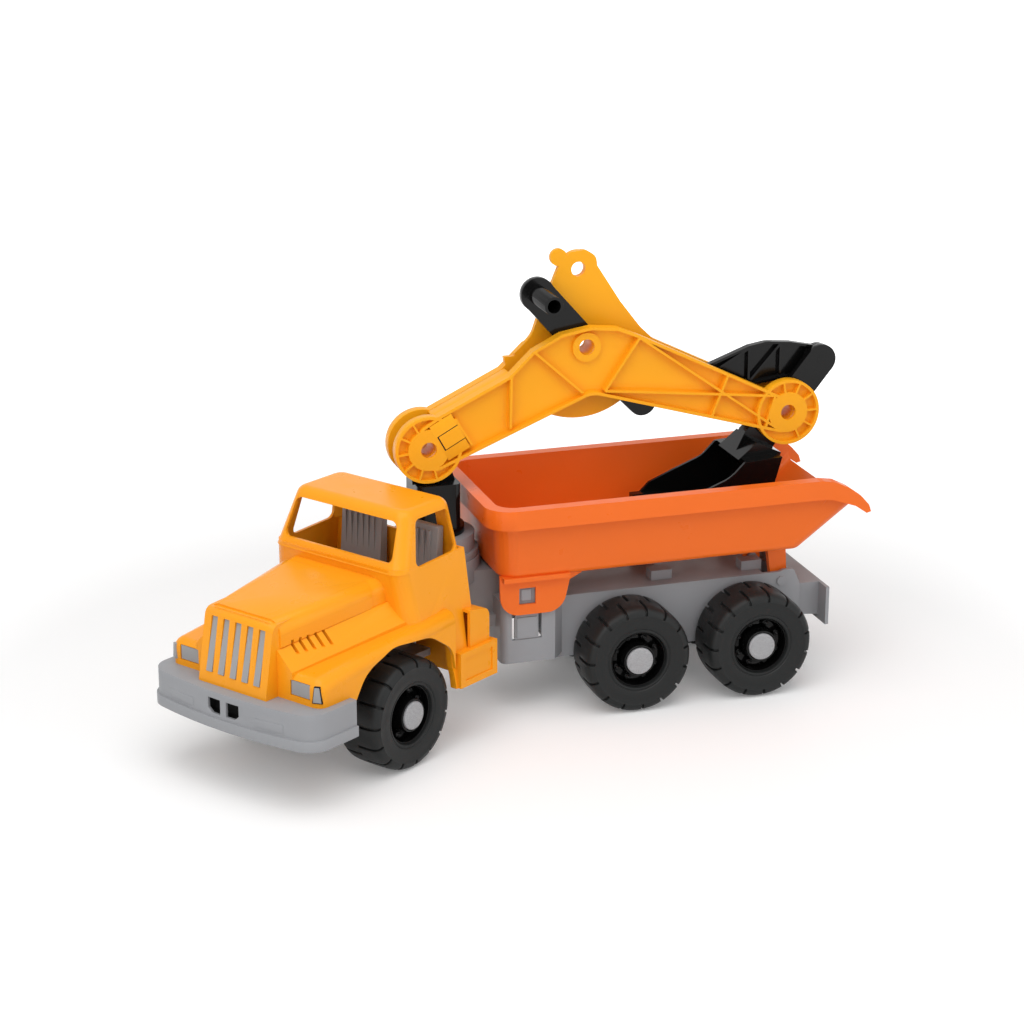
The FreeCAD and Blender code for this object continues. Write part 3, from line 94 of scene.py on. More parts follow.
class PlasticColours(PropertyGroup):
    """The colours of the truck's plastics, in linear light"""
    cab: colour("Cab", "Yellow of the cab shell", (0.93, 0.350, 0.010))
    boom: colour("Boom", "Yellow of the boom plates", (0.93, 0.40, 0.010))
    bed: colour("Bed", "Orange of the tipper bed", (0.86, 0.155, 0.015))
    frame: colour("Frame", "Grey of the chassis and bumper", (0.305, 0.31, 0.325))
    trim: colour("Trim", "Grey of the seats, grille and lamps", (0.34, 0.335, 0.335))
    cap: colour("Cap", "Pale grey of the hub caps", (0.36, 0.36, 0.37))
    tyre: colour("Tyre", "Black of the tyres", (0.016, 0.017, 0.017))
    arm: colour("Arm", "Black of the lever, link, bucket and rims", (0.003, 0.003, 0.003))


class StudioSizes(PropertyGroup):
    """The camera's lens, the floor's width and the strength of the lights"""
    lens: FloatProperty(name="Lens", description="Focal length of the camera", default=94.04, min=10,
                        unit="CAMERA")
    floor: FloatProperty(name="Floor", description="Width of the floor", default=12.0, min=1, unit="LENGTH")
    key: FloatProperty(name="Key light", description="Strength of the soft light overhead", default=14.8,
                       min=0)
    air: FloatProperty(name="Air", description="Strength of the light from all round", default=0.5, min=0)
    floor_glow: FloatProperty(name="Floor glow", default=0.12, min=0, max=1,
                              description="How much the floor shows white by itself near the toy")


def shader_parts(material):
    """Empties a material's node tree and gives back the tree and a new shader wired to its output."""
    material.use_nodes = True
    tree = material.node_tree
    tree.nodes.clear()
    output = tree.nodes.new("ShaderNodeOutputMaterial")
    shader = tree.nodes.new("ShaderNodeBsdfPrincipled")
    tree.links.new(shader.outputs["BSDF"], output.inputs["Surface"])
    return tree, shader


def moulded_plastic(name, colour, roughness, grain=0.0, coat=0.0):
    """Moulded plastic: faint flow in the colour, slight waviness, and handling marks in the gloss."""
    material = bpy.data.materials.new(name)
    tree, shader = shader_parts(material)
    nodes, links = tree.nodes, tree.links
    place = nodes.new("ShaderNodeTexCoord")
    flow = nodes.new("ShaderNodeTexNoise")
    flow.inputs["Scale"].default_value = 9
    flow.inputs["Detail"].default_value = 3
    flow.inputs["Roughness"].default_value = 0.5
    links.new(place.outputs["Object"], flow.inputs["Vector"])
    tint = nodes.new("ShaderNodeMixRGB")
    tint.inputs["Color1"].default_value = (*[c * 0.94 for c in colour], 1)
    tint.inputs["Color2"].default_value = (*[min(1, c * 1.05) for c in colour], 1)
    links.new(flow.outputs["Fac"], tint.inputs["Fac"])
    links.new(tint.outputs["Color"], shader.inputs["Base Color"])
    scuff = nodes.new("ShaderNodeTexNoise")
    scuff.inputs["Scale"].default_value = 55
    scuff.inputs["Detail"].default_value = 6
    links.new(place.outputs["Object"], scuff.inputs["Vector"])
    gloss = nodes.new("ShaderNodeMapRange")
    gloss.inputs["From Min"].default_value = 0.3
    gloss.inputs["From Max"].default_value = 0.7
    gloss.inputs["To Min"].default_value = roughness * 0.85
    gloss.inputs["To Max"].default_value = roughness * 1.2
    links.new(scuff.outputs["Fac"], gloss.inputs["Value"])
    links.new(gloss.outputs["Result"], shader.inputs["Roughness"])
    fine = nodes.new("ShaderNodeTexNoise")
    fine.inputs["Scale"].default_value = 900 if grain else 28
    fine.inputs["Detail"].default_value = 2
    links.new(place.outputs["Object"], fine.inputs["Vector"])
    relief = nodes.new("ShaderNodeBump")
    relief.inputs["Strength"].default_value = grain if grain else 0.04
    relief.inputs["Distance"].default_value = 0.0003 if grain else 0.002
    links.new(fine.outputs["Fac"], relief.inputs["Height"])
    links.new(relief.outputs["Normal"], shader.inputs["Normal"])
    shader.inputs["IOR"].default_value = 1.49
    shader.inputs["Specular IOR Level"].default_value = 0.2
    shader.inputs["Coat Weight"].default_value = coat
    shader.inputs["Coat Roughness"].default_value = 0.08
    return material


def soft_tread_rubber(name, colour):
    """Dull charcoal tyre plastic with a fine pebbled skin."""
    return moulded_plastic(name, colour, 0.42, grain=0.35)


def speckled_plastic(name, colour):
    """Pale moulded plastic with fine dark and light specks in it."""
    material = moulded_plastic(name, colour, 0.42)
    nodes, links = material.node_tree.nodes, material.node_tree.links
    shader = next(item for item in nodes if item.type == "BSDF_PRINCIPLED")
    specks = nodes.new("ShaderNodeTexNoise")
    specks.inputs["Scale"].default_value = 2300
    specks.inputs["Detail"].default_value = 1
    place = next(item for item in nodes if item.type == "TEX_COORD")
    links.new(place.outputs["Object"], specks.inputs["Vector"])
    ramp = nodes.new("ShaderNodeValToRGB")
    ramp.color_ramp.elements[0].position = 0.38
    ramp.color_ramp.elements[0].color = (*[c * 0.72 for c in colour], 1)
    ramp.color_ramp.elements[1].position = 0.62
    ramp.color_ramp.elements[1].color = (*[min(1, c * 1.22) for c in colour], 1)
    links.new(specks.outputs["Fac"], ramp.inputs["Fac"])
    links.new(ramp.outputs["Color"], shader.inputs["Base Color"])
    return material


def steel_rod(name):
    """Drawn steel with a gloss that varies along it."""
    material = bpy.data.materials.new(name)
    tree, shader = shader_parts(material)
    nodes, links = tree.nodes, tree.links
    place = nodes.new("ShaderNodeTexCoord")
    drawn = nodes.new("ShaderNodeTexNoise")
    drawn.inputs["Scale"].default_value = 300
    links.new(place.outputs["Object"], drawn.inputs["Vector"])
    gloss = nodes.new("ShaderNodeMapRange")
    gloss.inputs["To Min"].default_value = 0.25
    gloss.inputs["To Max"].default_value = 0.45
    links.new(drawn.outputs["Fac"], gloss.inputs["Value"])
    links.new(gloss.outputs["Result"], shader.inputs["Roughness"])
    shader.inputs["Base Color"].default_value = (0.55, 0.55, 0.56, 1)
    shader.inputs["Metallic"].default_value = 1
    return material


def seen_rays(tree):
    """1 for rays from the camera, off gloss and through glass, else 0."""
    path = tree.nodes.new("ShaderNodeLightPath")
    total = path.outputs["Is Camera Ray"]
    for name in ("Is Glossy Ray", "Is Transmission Ray"):
        larger = tree.nodes.new("ShaderNodeMath")
        larger.operation = "MAXIMUM"
        tree.links.new(total, larger.inputs[0])
        tree.links.new(path.outputs[name], larger.inputs[1])
        total = larger.outputs[0]
    return total


def softened(item, width, angle=SMOOTH_DEGREES):
    """Gives a moulding its small edge radius and smooth curves."""
    weld = item.modifiers.new("Merged skin", "WELD")
    weld.merge_threshold = 0.00002
    edge = item.modifiers.new("Moulded edge", "BEVEL")
    edge.width = width
    edge.segments = 2
    edge.limit_method = "ANGLE"
    edge.angle_limit = math.radians(angle)
    edge.harden_normals = True
    edge.use_clamp_overlap = True
    edge.miter_outer = "MITER_ARC"


def wear(material, *names):
    """Puts one material on the named nodes, in place of what they had."""
    for name in names:
        slots = NODES[name].data.materials
        slots.clear()
        slots.append(material)


def fresh():
    """Leaves edit mode with nothing selected."""
    if bpy.context.object and bpy.context.object.mode == "EDIT":
        bpy.ops.object.mode_set(mode="OBJECT")
    bpy.ops.object.select_all(action="DESELECT")


def pick(item, test, kind="FACE"):
    """Selects the faces, edges or corners that a test of their middle point and index accepts."""
    bpy.ops.mesh.select_mode(type=kind)
    bpy.ops.mesh.select_all(action="DESELECT")
    mesh = bmesh.from_edit_mesh(item.data)
    parts = {"FACE": mesh.faces, "EDGE": mesh.edges, "VERT": mesh.verts}[kind]
    for part in parts:
        if kind == "FACE":
            middle = part.calc_center_median()
        elif kind == "EDGE":
            middle = (part.verts[0].co + part.verts[1].co) / 2
        else:
            middle = part.co
        part.select_set(bool(test(middle, part)))
    mesh.select_flush_mode()
    bmesh.update_edit_mesh(item.data)


def lathe(name, stations, sides, close=True):
    """Turns a ring round the Y axis through (radius, place) stations, as on a wheel mould."""
    fresh()
    radius, place = stations[0]
    bpy.ops.mesh.primitive_circle_add(vertices=sides, radius=radius, location=(0, place, 0),
                                      rotation=(math.pi / 2, 0, 0))
    item = bpy.context.object
    item.name = name
    bpy.ops.object.transform_apply(location=True, rotation=True, scale=True)
    bpy.ops.object.mode_set(mode="EDIT")
    bpy.ops.mesh.select_mode(type="EDGE")
    bpy.ops.mesh.select_all(action="SELECT")
    for (r0, y0), (r1, y1) in zip(stations, stations[1:] + (stations[:1] if close else [])):
        bpy.ops.mesh.extrude_region_move(TRANSFORM_OT_translate={"value": (0, y1 - y0, 0)})
        bpy.ops.transform.resize(value=(r1 / r0, 1, r1 / r0), center_override=(0, y1, 0))
    bpy.ops.mesh.select_all(action="SELECT")
    bpy.ops.mesh.remove_doubles(threshold=0.00001)
    bpy.ops.mesh.normals_make_consistent(inside=False)
    bpy.ops.object.mode_set(mode="OBJECT")
    return item


def turned_index(middle, sides):
    """Which of the equal sectors round the Y axis a point is in."""
    return int(math.floor((math.degrees(math.atan2(middle.z, middle.x)) % 360) / (360 / sides)))


def edge_softened(item, width, angle=35, segments=2):
    """Rounds a new piece's sharp edges for good and smooths its curves."""
    bpy.context.view_layer.objects.active = item
    bevel = item.modifiers.new("edge", "BEVEL")
    bevel.width = width
    bevel.segments = segments
    bevel.limit_method = "ANGLE"
    bevel.angle_limit = math.radians(angle)
    bevel.use_clamp_overlap = True
    item.select_set(True)
    bpy.ops.object.modifier_apply(modifier="edge")
    bpy.ops.object.shade_smooth_by_angle(angle=math.radians(SMOOTH_DEGREES))


def placed(item, spot, turn=0.0, flip=False):
    """Moves a finished piece to its place and leaves its object at the origin."""
    fresh()
    item.select_set(True)
    bpy.context.view_layer.objects.active = item
    item.rotation_euler = (0, 0, turn + (math.pi if flip else 0))
    item.location = spot
    bpy.ops.object.transform_apply(location=True, rotation=True, scale=True)


def copy_of(item, name):
    """A separate copy of a piece, with its own mesh."""
    fresh()
    item.select_set(True)
    bpy.context.view_layer.objects.active = item
    bpy.ops.object.duplicate()
    twin = bpy.context.object
    twin.name = name
    twin.data.name = name
    return twin


def wheel_spot(place):
    """The middle of a tyre, its turn about Z, and whether its outer face is on the right."""
    low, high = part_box(f"tyre_{place}")
    middle = (low + high) / 2
    turn = CAB_TURN if place.startswith("front") else 0.0
    return middle, turn, place.endswith("right")


class TRUCK_OT_mould_tyres(Operator):
    """Moulds the chunky tyres with offset shoulder blocks"""
    bl_idname = "truck.mould_tyres"
    bl_label = "Mould the tyres"

    def execute(self, context):
        half = [(0.0233, 0.0110), (0.0234, 0.0176), (0.0241, 0.0190), (0.0252, 0.0196), (0.0259, 0.0190),
                (0.0264, 0.0191), (0.0272, 0.0200), (0.0330, 0.0207), (0.0376, 0.0206), (0.0383, 0.0209),
                (0.0410, 0.0203), (0.0430, 0.0188), (0.0444, 0.0160), (0.0449, 0.0120), (0.0450, 0.0060)]
        stations = half + [(0.0450, 0.0)] + [(r, -y) for r, y in reversed(half)]
        tyre = lathe("tyre_form", stations, TREAD_SECTORS)
        bpy.ops.object.mode_set(mode="EDIT")

        def groove(middle, part):
            radius = math.hypot(middle.x, middle.z)
            if radius < TREAD_INNER_RADIUS:
                return False
            shift = 0 if middle.y > 0 else TREAD_PITCH // 2
            return (turned_index(middle, TREAD_SECTORS) + shift) % TREAD_PITCH == 0

        pick(tyre, groove)
        bpy.ops.mesh.extrude_region_shrink_fatten(TRANSFORM_OT_shrink_fatten={"value": -GROOVE_DEPTH})
        bpy.ops.object.mode_set(mode="OBJECT")
        edge_softened(tyre, 0.0004, 38)
        tyre.data.materials.append(soft_tread_rubber("tyre tread", context.scene.truck_colours.tyre))
        for place in WHEELS:
            piece = copy_of(tyre, f"tread_{place}")
            middle, turn, right = wheel_spot(place)
            placed(piece, middle, turn, right)
            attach(piece, f"wheel_{place}")
            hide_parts(f"tyre_{place}")
        bpy.data.objects.remove(tyre)
        return {"FINISHED"}


class TRUCK_OT_mould_rims(Operator):
    """Moulds the gloss black rims with their ring of bosses"""
    bl_idname = "truck.mould_rims"
    bl_label = "Mould the rims"

    def execute(self, context):
        stations = [(0.0235, -0.0190), (0.0235, 0.0150), (0.0232, 0.0164), (0.0226, 0.0168), (0.0221, 0.0160),
                    (0.0216, 0.0110), (0.0210, 0.0076), (0.0200, 0.0066), (0.0150, 0.0064), (0.0142, 0.0074),
                    (0.0136, 0.0180), (0.0132, 0.0198), (0.0126, 0.0204), (0.0119, 0.0204), (0.0116, 0.0198),
                    (0.0116, 0.0180), (0.0050, 0.0180), (0.0042, 0.0175), (0.0042, -0.0190)]
        rim = lathe("rim_form", stations, 72)
        edge_softened(rim, 0.0003, 40, 1)
        bosses = []
        for step in range(RIM_BOSSES):
            angle = math.radians(360 / RIM_BOSSES * (step + 0.5))
            fresh()
            bpy.ops.mesh.primitive_cylinder_add(
                vertices=20, radius=0.0027, depth=0.006, rotation=(math.pi / 2, 0, 0),
                location=(0.0178 * math.cos(angle), 0.0072, 0.0178 * math.sin(angle)))
            boss = context.object
            bpy.ops.object.transform_apply(location=True, rotation=True, scale=True)
            bpy.ops.object.mode_set(mode="EDIT")
            pick(boss, lambda middle, part: part.normal.y > 0.9)
            bpy.ops.mesh.inset(thickness=0.0009)
            bpy.ops.transform.translate(value=(0, 0.0005, 0))
            bpy.ops.mesh.inset(thickness=0.0008)
            bpy.ops.transform.translate(value=(0, -0.0009, 0))
            bpy.ops.object.mode_set(mode="OBJECT")
            edge_softened(boss, 0.0003, 25)
            bosses.append(boss)
        fresh()
        for item in bosses:
            item.select_set(True)
        rim.select_set(True)
        context.view_layer.objects.active = rim
        bpy.ops.object.join()
        rim = context.object
        rim.data.materials.append(moulded_plastic("rim gloss black", context.scene.truck_colours.arm, 0.16))
        for place in WHEELS:
            piece = copy_of(rim, f"dish_{place}")
            middle, turn, right = wheel_spot(place)
            placed(piece, middle, turn, right)
            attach(piece, f"wheel_{place}")
            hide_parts(f"rim_{place}")
        bpy.data.objects.remove(rim)
        return {"FINISHED"}


class TRUCK_OT_press_hub_caps(Operator):
    """Presses the pale speckled caps over the axle ends"""
    bl_idname = "truck.press_hub_caps"
    bl_label = "Press the hub caps"

    def execute(self, context):
        fresh()
        bpy.ops.mesh.primitive_cylinder_add(vertices=64, radius=CAP_RADIUS, depth=0.004,
                                            rotation=(math.pi / 2, 0, 0), location=(0, 0.0190, 0))
        cap = context.object
        bpy.ops.object.transform_apply(location=True, rotation=True, scale=True)
        bpy.ops.object.mode_set(mode="EDIT")
        pick(cap, lambda middle, part: part.normal.y > 0.9)
        bpy.ops.mesh.inset(thickness=0.0008)
        bpy.ops.transform.translate(value=(0, 0.0006, 0))
        bpy.ops.mesh.inset(thickness=0.0030)
        bpy.ops.transform.translate(value=(0, 0.0003, 0))
        bpy.ops.object.mode_set(mode="OBJECT")
        edge_softened(cap, 0.0003, 30)
        cap.data.materials.append(speckled_plastic("cap grey", context.scene.truck_colours.cap))
        for place in WHEELS:
            piece = copy_of(cap, f"hub_cap_{place}")
            middle, turn, right = wheel_spot(place)
            placed(piece, middle, turn, right)
            front = place.startswith("front")
            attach(piece, "cab" if front else "chassis")
            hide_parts("front_hub_caps" if front else "rear_hub_caps")
        bpy.data.objects.remove(cap)
        return {"FINISHED"}


def sliced(axis, *places):
    """Cuts new rows of edges right through the piece in edit mode, square to an axis."""
    for place in places:
        bpy.ops.mesh.select_all(action="SELECT")
        point = tuple(place if letter == axis else 0 for letter in "XYZ")
        normal = tuple(1 if letter == axis else 0 for letter in "XYZ")
        bpy.ops.mesh.bisect(plane_co=point, plane_no=normal)


def block(name, x, y, z):
    """A cube stretched between the given places, left in edit mode."""
    fresh()
    centre = [(low + high) / 2 for low, high in (x, y, z)]
    bpy.ops.mesh.primitive_cube_add(size=1, location=centre, scale=[high - low for low, high in (x, y, z)])
    item = bpy.context.object
    item.name = name
    bpy.ops.object.transform_apply(location=True, rotation=True, scale=True)
    bpy.ops.object.mode_set(mode="EDIT")
    return item


def indicator(side, size, depth, material, slot):
    """A tapered lens on the wing's front corner; size is how far it stands past the plain lens."""
    wide, tall = 0.0034 + size, 0.006 + size
    lens = block("indicator_form", (-depth, depth), (-wide, wide), (-tall, tall))
    pick(lens, lambda middle, part: part.normal.z > 0.9)
    bpy.ops.transform.resize(value=(1, 0.55, 1))
    pick(lens, lambda middle, part: part.normal.x > 0.9)
    bpy.ops.mesh.inset(thickness=0.0005)
    bpy.ops.mesh.select_all(action="SELECT")
    turned_about(lens, (0, 0, 0), "Z", side * 24)
    bpy.ops.transform.translate(value=(0.2205, side * 0.0738, 0.0915))
    bpy.ops.object.mode_set(mode="OBJECT")
    edge_softened(lens, 0.0002, 30)
    lens.name = slot + ("_indicator_left" if side > 0 else "_indicator_right")
    lens.data.materials.append(material)
    placed(lens, STEER_AXIS, CAB_TURN)
    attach(lens, "cab")


class TRUCK_OT_mould_bumper(Operator):
    """Moulds the bowed front bumper with its lip, towing holes, faint panels and indicators"""
    bl_idname = "truck.mould_bumper"
    bl_label = "Mould the bumper"

    def fit_indicators(self, context):
        """A grey lens on each wing, the left one in a black surround of painted shade that stands for the
        shaded seam round it
        """
        colours = context.scene.truck_colours
        indicator(-1, 0.0, 0.0013, moulded_plastic("indicator grey", colours.trim, 0.4), "trim_grey")
        # painted shade: a black sheet standing just past the left lens, coloured and named after the arm's
        # black plastic
        indicator(1, 0.0007, 0.0010, moulded_plastic("indicator shadow", colours.arm, 0.5), "arm_black")
        indicator(1, 0.0, 0.0013, moulded_plastic("indicator grey", colours.trim, 0.4), "trim_grey")

    def execute(self, context):
        back, front, half, low, high = 0.190, 0.2455, BUMPER_HALF, 0.052, 0.081
        bumper = block("bumper_form", (back, front), (-half, half), (low, high))
        pick(bumper, lambda middle, part: middle.x > front - 0.001 and abs(middle.y) > half - 0.001
             and abs(middle.z - (low + high) / 2) < 0.001, "EDGE")
        bpy.ops.mesh.bevel(offset=0.014, segments=6, affect="EDGES")
        sliced("Y", -0.058, -0.048, -0.032, -0.016, -0.003, 0.003, 0.016, 0.032, 0.048, 0.058)
        sliced("Z", 0.0605, 0.0635, 0.0670, 0.0700, 0.0755)
        rows = sorted({round(corner.co.y, 5) for corner in bmesh.from_edit_mesh(bumper.data).verts})
        for row in rows:
            pick(bumper, lambda middle, part: middle.x > 0.2 and abs(middle.y - row) < 0.00002, "VERT")
            bpy.ops.transform.translate(value=(-BUMPER_BOW * (row / half) ** 2, 0, 0))
        pick(bumper, lambda middle, part: part.normal.z < -0.9 or part.normal.x < -0.9)
        bpy.ops.mesh.delete(type="FACE")
        pick(bumper, lambda middle, part: middle.z < 0.0605 and abs(part.normal.z) < 0.5)
        bpy.ops.mesh.extrude_region_shrink_fatten(TRANSFORM_OT_shrink_fatten={"value": 0.0018})
        pick(bumper, lambda middle, part: 0.003 < abs(middle.y) < 0.016 and 0.0635 < middle.z < 0.0755
             and part.normal.x > 0.5)
        bpy.ops.mesh.delete(type="FACE")
        for side in (-1, 1):
            pick(bumper, lambda middle, part: abs(middle.y - side * 0.016) < 0.0002
                 and abs(middle.z - 0.0635) < 0.0002 and middle.x > 0.23, "VERT")
            bpy.ops.transform.translate(value=(0, -side * 0.0042, 0))
            pick(bumper, lambda middle, part: 0.032 < side * middle.y < 0.058
                 and 0.0635 < middle.z < 0.070 and part.normal.x > 0.5)
            bpy.ops.mesh.extrude_region_shrink_fatten(TRANSFORM_OT_shrink_fatten={"value": 0.0004})
        bpy.ops.object.mode_set(mode="OBJECT")
        wall = bumper.modifiers.new("wall", "SOLIDIFY")
        wall.thickness = 0.0024
        wall.offset = -1
        bpy.ops.object.modifier_apply(modifier="wall")
        edge_softened(bumper, 0.0007, 40, 2)
        bumper.data.materials.append(moulded_plastic("bumper grey", context.scene.truck_colours.frame, 0.42))
        bumper.name = "bowed_bumper"
        dark = moulded_plastic("tow pocket shadow", context.scene.truck_colours.arm, 0.6)
        pocket = block("tow_pocket", (0.2335, 0.2405), (-0.019, 0.019), (0.0610, 0.0780))
        pick(pocket, lambda middle, part: part.normal.x > 0.9)
        bpy.ops.mesh.inset(thickness=0.0012)
        bpy.ops.transform.translate(value=(-0.004, 0, 0))
        bpy.ops.object.mode_set(mode="OBJECT")
        edge_softened(pocket, 0.0003, 30)
        pocket.data.materials.append(dark)
        placed(pocket, STEER_AXIS, CAB_TURN)
        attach(pocket, "cab")
        self.fit_indicators(context)
        placed(bumper, STEER_AXIS, CAB_TURN)
        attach(bumper, "cab")
        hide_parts("front_bumper")
        return {"FINISHED"}


def turned_about(item, point, axis, degrees):
    """Turns the whole piece in edit mode about a point."""
    bpy.ops.mesh.select_all(action="SELECT")
    bpy.ops.transform.rotate(value=-math.radians(degrees), orient_axis=axis, center_override=point)


def finished(item, name, material, body, width=0.0003, angle=30):
    """Softens a piece's edges, gives it its finish and lets it ride on its body."""
    bpy.ops.object.mode_set(mode="OBJECT")
    edge_softened(item, width, angle)
    item.data.materials.clear()
    item.data.materials.append(material)
    item.name = name
    item.data.name = name
    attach(item, body)


def from_turntable(x, y, z):
    """A place in metres, from millimetres measured from the turntable's axis."""
    return (STEER_AXIS[0] + x / 1000, STEER_AXIS[1] + y / 1000, z / 1000)


def plate(x, y, z):
    """A block between places in millimetres from the turntable's axis, left in edit mode."""
    low, high = from_turntable(x[0], y[0], z[0]), from_turntable(x[1], y[1], z[1])
    return block("plate_form", *zip(low, high))


class TRUCK_OT_fit_trims(Operator):
    """Fits the latch pads, the snap tab on the boom's hub and the band between its plates"""
    bl_idname = "truck.fit_trims"
    bl_label = "Fit the trims"

    def execute(self, context):
        colours = context.scene.truck_colours
        grey = moulded_plastic("latch grey", colours.frame, 0.42)
        yellow = moulded_plastic("boom trim yellow", colours.boom, 0.36)
        dark = moulded_plastic("slit shadow", colours.arm, 0.6)
        for side, word in ((1, "left"), (-1, "right")):
            low, high = sorted((side * 51.2, side * 52.0))
            pad = plate((-71.5, -54.5), (low, high), (64.5, 82))
            pick(pad, lambda middle, part: part.normal.y * side > 0.9)
            bpy.ops.mesh.inset(thickness=0.0011)
            bpy.ops.transform.translate(value=(0, -side * 0.0007, 0))
            finished(pad, f"latch_pad_{word}", grey, f"latch_{word}")
        root = from_turntable(7.5, 0, 218.5)
        hub_pad = plate((-22.5, -2.0), (11, 16.1), (202, 235))
        turned_about(hub_pad, root, "Y", BOOM_RISE)
        finished(hub_pad, "hub_pad", yellow, "boom")
        slit = plate((-22.4, -3.4), (15, 16.2), (210.7, 224.3))
        turned_about(slit, root, "Y", BOOM_RISE)
        finished(slit, "snap_slit", dark, "boom", 0.0001)
        tab = plate((-22.9, -4.4), (15, 16.6), (211.4, 223.6))
        pick(tab, lambda middle, part: part.normal.y > 0.9)
        bpy.ops.mesh.inset(thickness=0.0006)
        turned_about(tab, root, "Y", BOOM_RISE)
        finished(tab, "snap_tab", yellow, "boom")
        band = plate((-79.5, -8.5), (-7, 7), (236.5, 239.2))
        sliced("X", *[from_turntable(x, 0, 0)[0] for x in (-62, -44, -26)])
        turned_about(band, root, "Y", BAND_RISE)
        finished(band, "boom_top_band", yellow, "boom", 0.0004)
        return {"FINISHED"}


class TRUCK_OT_dress_mouldings(Operator):
    """Gives the truck's plastic mouldings their finishes"""
    bl_idname = "truck.dress_mouldings"
    bl_label = "Dress the mouldings"

    def execute(self, context):
        colours = context.scene.truck_colours
        cab = moulded_plastic("cab yellow", colours.cab, 0.30, coat=0.05)
        boom = moulded_plastic("boom yellow", colours.boom, 0.36)
        bed = moulded_plastic("bed orange", colours.bed, 0.32, coat=0.05)
        grey = moulded_plastic("frame grey", colours.frame, 0.42)
        trim = moulded_plastic("trim grey", colours.trim, 0.40)
        black = moulded_plastic("arm black", colours.arm, 0.16)
        tyre = soft_tread_rubber("tyre black", colours.tyre)
        steel = steel_rod("axle steel")
        finishes = {"cab_yellow": cab, "boom_yellow": boom, "bed_orange": bed, "frame_grey": grey,
                    "trim_grey": trim, "arm_black": black, "rim_black": black, "tyre_black": tyre,
                    "cap_grey": grey, "axle_steel": steel}
        for part in frame["record"]["subparts"]:
            wear(finishes[part["material_slot"]], part["node"])
        for item in NODES.values():
            softened(item, 0.0005)
        return {"FINISHED"}


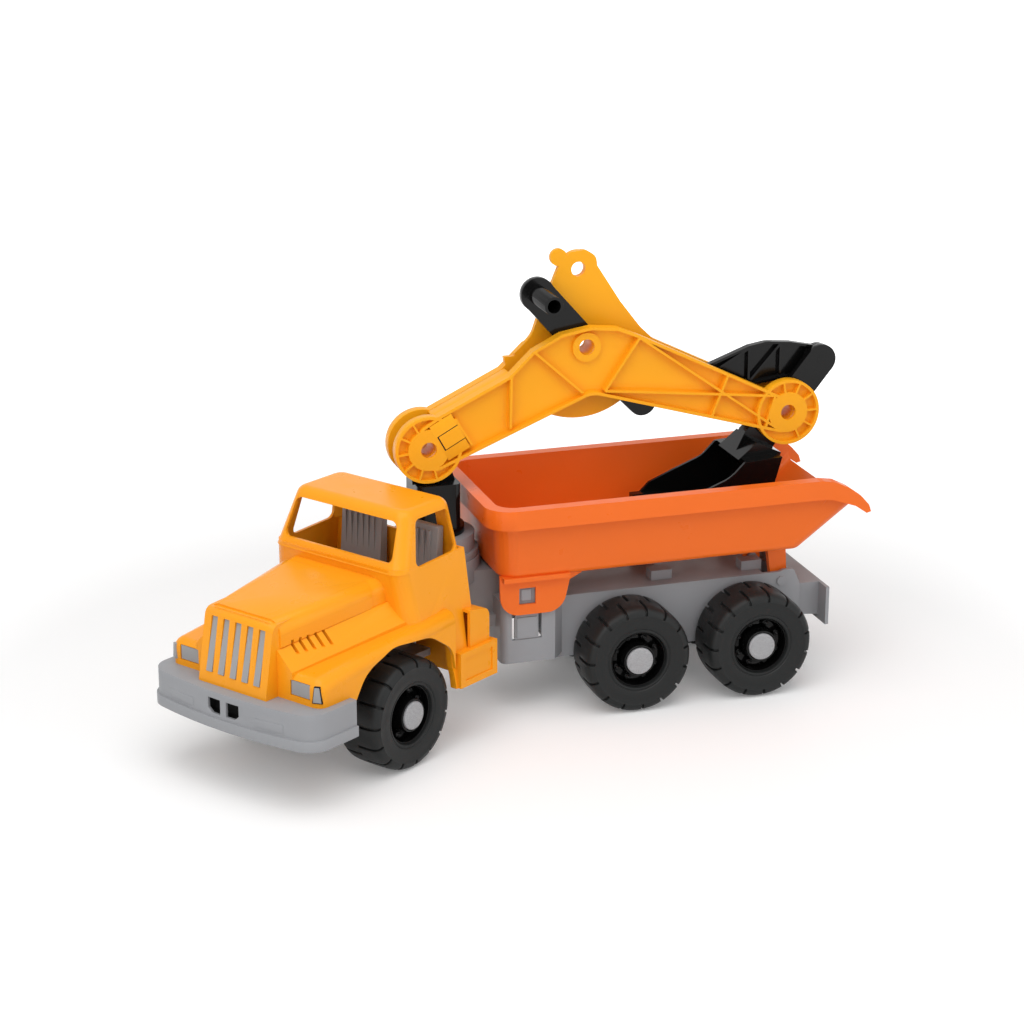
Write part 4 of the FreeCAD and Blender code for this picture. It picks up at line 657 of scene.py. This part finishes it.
class TRUCK_OT_set_stage(Operator):
    """Builds the pale floor, the soft lights and the camera"""
    bl_idname = "truck.set_stage"
    bl_label = "Set the stage"

    def execute(self, context):
        studio = context.scene.truck_studio
        scene = context.scene
        scene.view_settings.view_transform = "Standard"
        bpy.ops.object.select_all(action="DESELECT")
        bpy.ops.mesh.primitive_plane_add(size=studio.floor, location=(0, 0, 0))
        floor = context.object
        floor.name = "studio_floor"
        material = bpy.data.materials.new("floor paper")
        tree, shader = shader_parts(material)
        shader.inputs["Base Color"].default_value = (0.9, 0.9, 0.9, 1)
        shader.inputs["Roughness"].default_value = 0.6
        nodes, links = tree.nodes, tree.links
        grain = nodes.new("ShaderNodeTexNoise")
        grain.inputs["Scale"].default_value = 400
        place = nodes.new("ShaderNodeTexCoord")
        links.new(place.outputs["Object"], grain.inputs["Vector"])
        relief = nodes.new("ShaderNodeBump")
        relief.inputs["Strength"].default_value = 0.02
        links.new(grain.outputs["Fac"], relief.inputs["Height"])
        links.new(relief.outputs["Normal"], shader.inputs["Normal"])
        away = nodes.new("ShaderNodeVectorMath")
        away.operation = "LENGTH"
        links.new(place.outputs["Object"], away.inputs[0])
        far = nodes.new("ShaderNodeMapRange")
        far.inputs["From Min"].default_value = 0.45
        far.inputs["From Max"].default_value = 1.3
        far.inputs["To Min"].default_value = studio.floor_glow
        far.inputs["To Max"].default_value = 1.0
        links.new(away.outputs["Value"], far.inputs["Value"])
        shown = nodes.new("ShaderNodeMath")
        shown.operation = "MULTIPLY"
        links.new(far.outputs["Result"], shown.inputs[0])
        links.new(seen_rays(tree), shown.inputs[1])
        shader.inputs["Emission Color"].default_value = (1, 1, 1, 1)
        links.new(shown.outputs[0], shader.inputs["Emission Strength"])
        floor.data.materials.append(material)
        world = bpy.data.worlds.new("studio air")
        scene.world = world
        world.use_nodes = True
        tree = world.node_tree
        back = tree.nodes["Background"]
        level = tree.nodes.new("ShaderNodeMapRange")
        level.inputs["To Min"].default_value = studio.air
        level.inputs["To Max"].default_value = 1.0
        tree.links.new(seen_rays(tree), level.inputs["Value"])
        tree.links.new(level.outputs["Result"], back.inputs["Strength"])
        back.inputs["Color"].default_value = (1, 1, 1, 1)
        for name, spot, size, power in (
                ("overhead light", (0.25, 0.5, 1.5), 1.6, studio.key),
                ("left light", (1.3, 1.2, 0.9), 1.2, studio.key * 0.42),
                ("right light", (-1.2, 1.3, 0.8), 1.2, studio.key * 0.32)):
            bpy.ops.object.light_add(type="AREA", location=spot)
            lamp = context.object
            lamp.name = name
            lamp.data.size = size
            lamp.data.energy = power
            lamp.rotation_euler = (Vector(LAMP_TARGET) - Vector(spot)).to_track_quat("-Z", "Y").to_euler()
        back_vector = Vector(CAMERA_BACK).normalized()
        across = Vector((0, 0, 1)).cross(back_vector).normalized()
        rise = back_vector.cross(across)
        bpy.ops.object.camera_add()
        camera = context.object
        camera.matrix_world = Matrix((
            (across.x, rise.x, back_vector.x, CAMERA_SPOT[0]),
            (across.y, rise.y, back_vector.y, CAMERA_SPOT[1]),
            (across.z, rise.z, back_vector.z, CAMERA_SPOT[2]),
            (0, 0, 0, 1)))
        camera.data.lens = studio.lens
        camera.data.sensor_width = SENSOR_WIDTH
        scene.camera = camera
        return {"FINISHED"}


class TRUCK_PT_sidebar(Panel):
    """Buttons for the truck's finishes and stage"""
    bl_idname = "TRUCK_PT_sidebar"
    bl_label = "Toy Truck"
    bl_space_type = "VIEW_3D"
    bl_region_type = "UI"
    bl_category = "Toy Truck"

    def draw(self, context):
        layout = self.layout
        colours = context.scene.truck_colours
        for name in ("cab", "boom", "bed", "frame", "trim", "cap", "tyre", "arm"):
            layout.prop(colours, name)
        studio = context.scene.truck_studio
        for name in ("lens", "floor", "key", "air", "floor_glow"):
            layout.prop(studio, name)
        for piece in OPERATORS:
            layout.operator(piece.bl_idname)


OPERATORS = (TRUCK_OT_dress_mouldings, TRUCK_OT_mould_tyres, TRUCK_OT_mould_rims, TRUCK_OT_press_hub_caps,
             TRUCK_OT_mould_bumper, TRUCK_OT_fit_trims, TRUCK_OT_set_stage)
CLASSES = (PlasticColours, StudioSizes, *OPERATORS, TRUCK_PT_sidebar)


def register():
    """Makes the add-on's classes and settings known to Blender."""
    for item in CLASSES:
        bpy.utils.register_class(item)
    bpy.types.Scene.truck_colours = PointerProperty(type=PlasticColours)
    bpy.types.Scene.truck_studio = PointerProperty(type=StudioSizes)


def unregister():
    """Takes them away again."""
    del bpy.types.Scene.truck_studio
    del bpy.types.Scene.truck_colours
    for item in reversed(CLASSES):
        bpy.utils.unregister_class(item)


def main():
    """Dresses the truck step by step."""
    register()
    bpy.ops.truck.dress_mouldings()
    bpy.ops.truck.mould_tyres()
    bpy.ops.truck.mould_rims()
    bpy.ops.truck.press_hub_caps()
    bpy.ops.truck.mould_bumper()
    bpy.ops.truck.fit_trims()
    bpy.ops.truck.set_stage()


if __name__ == "__main__":
    main()
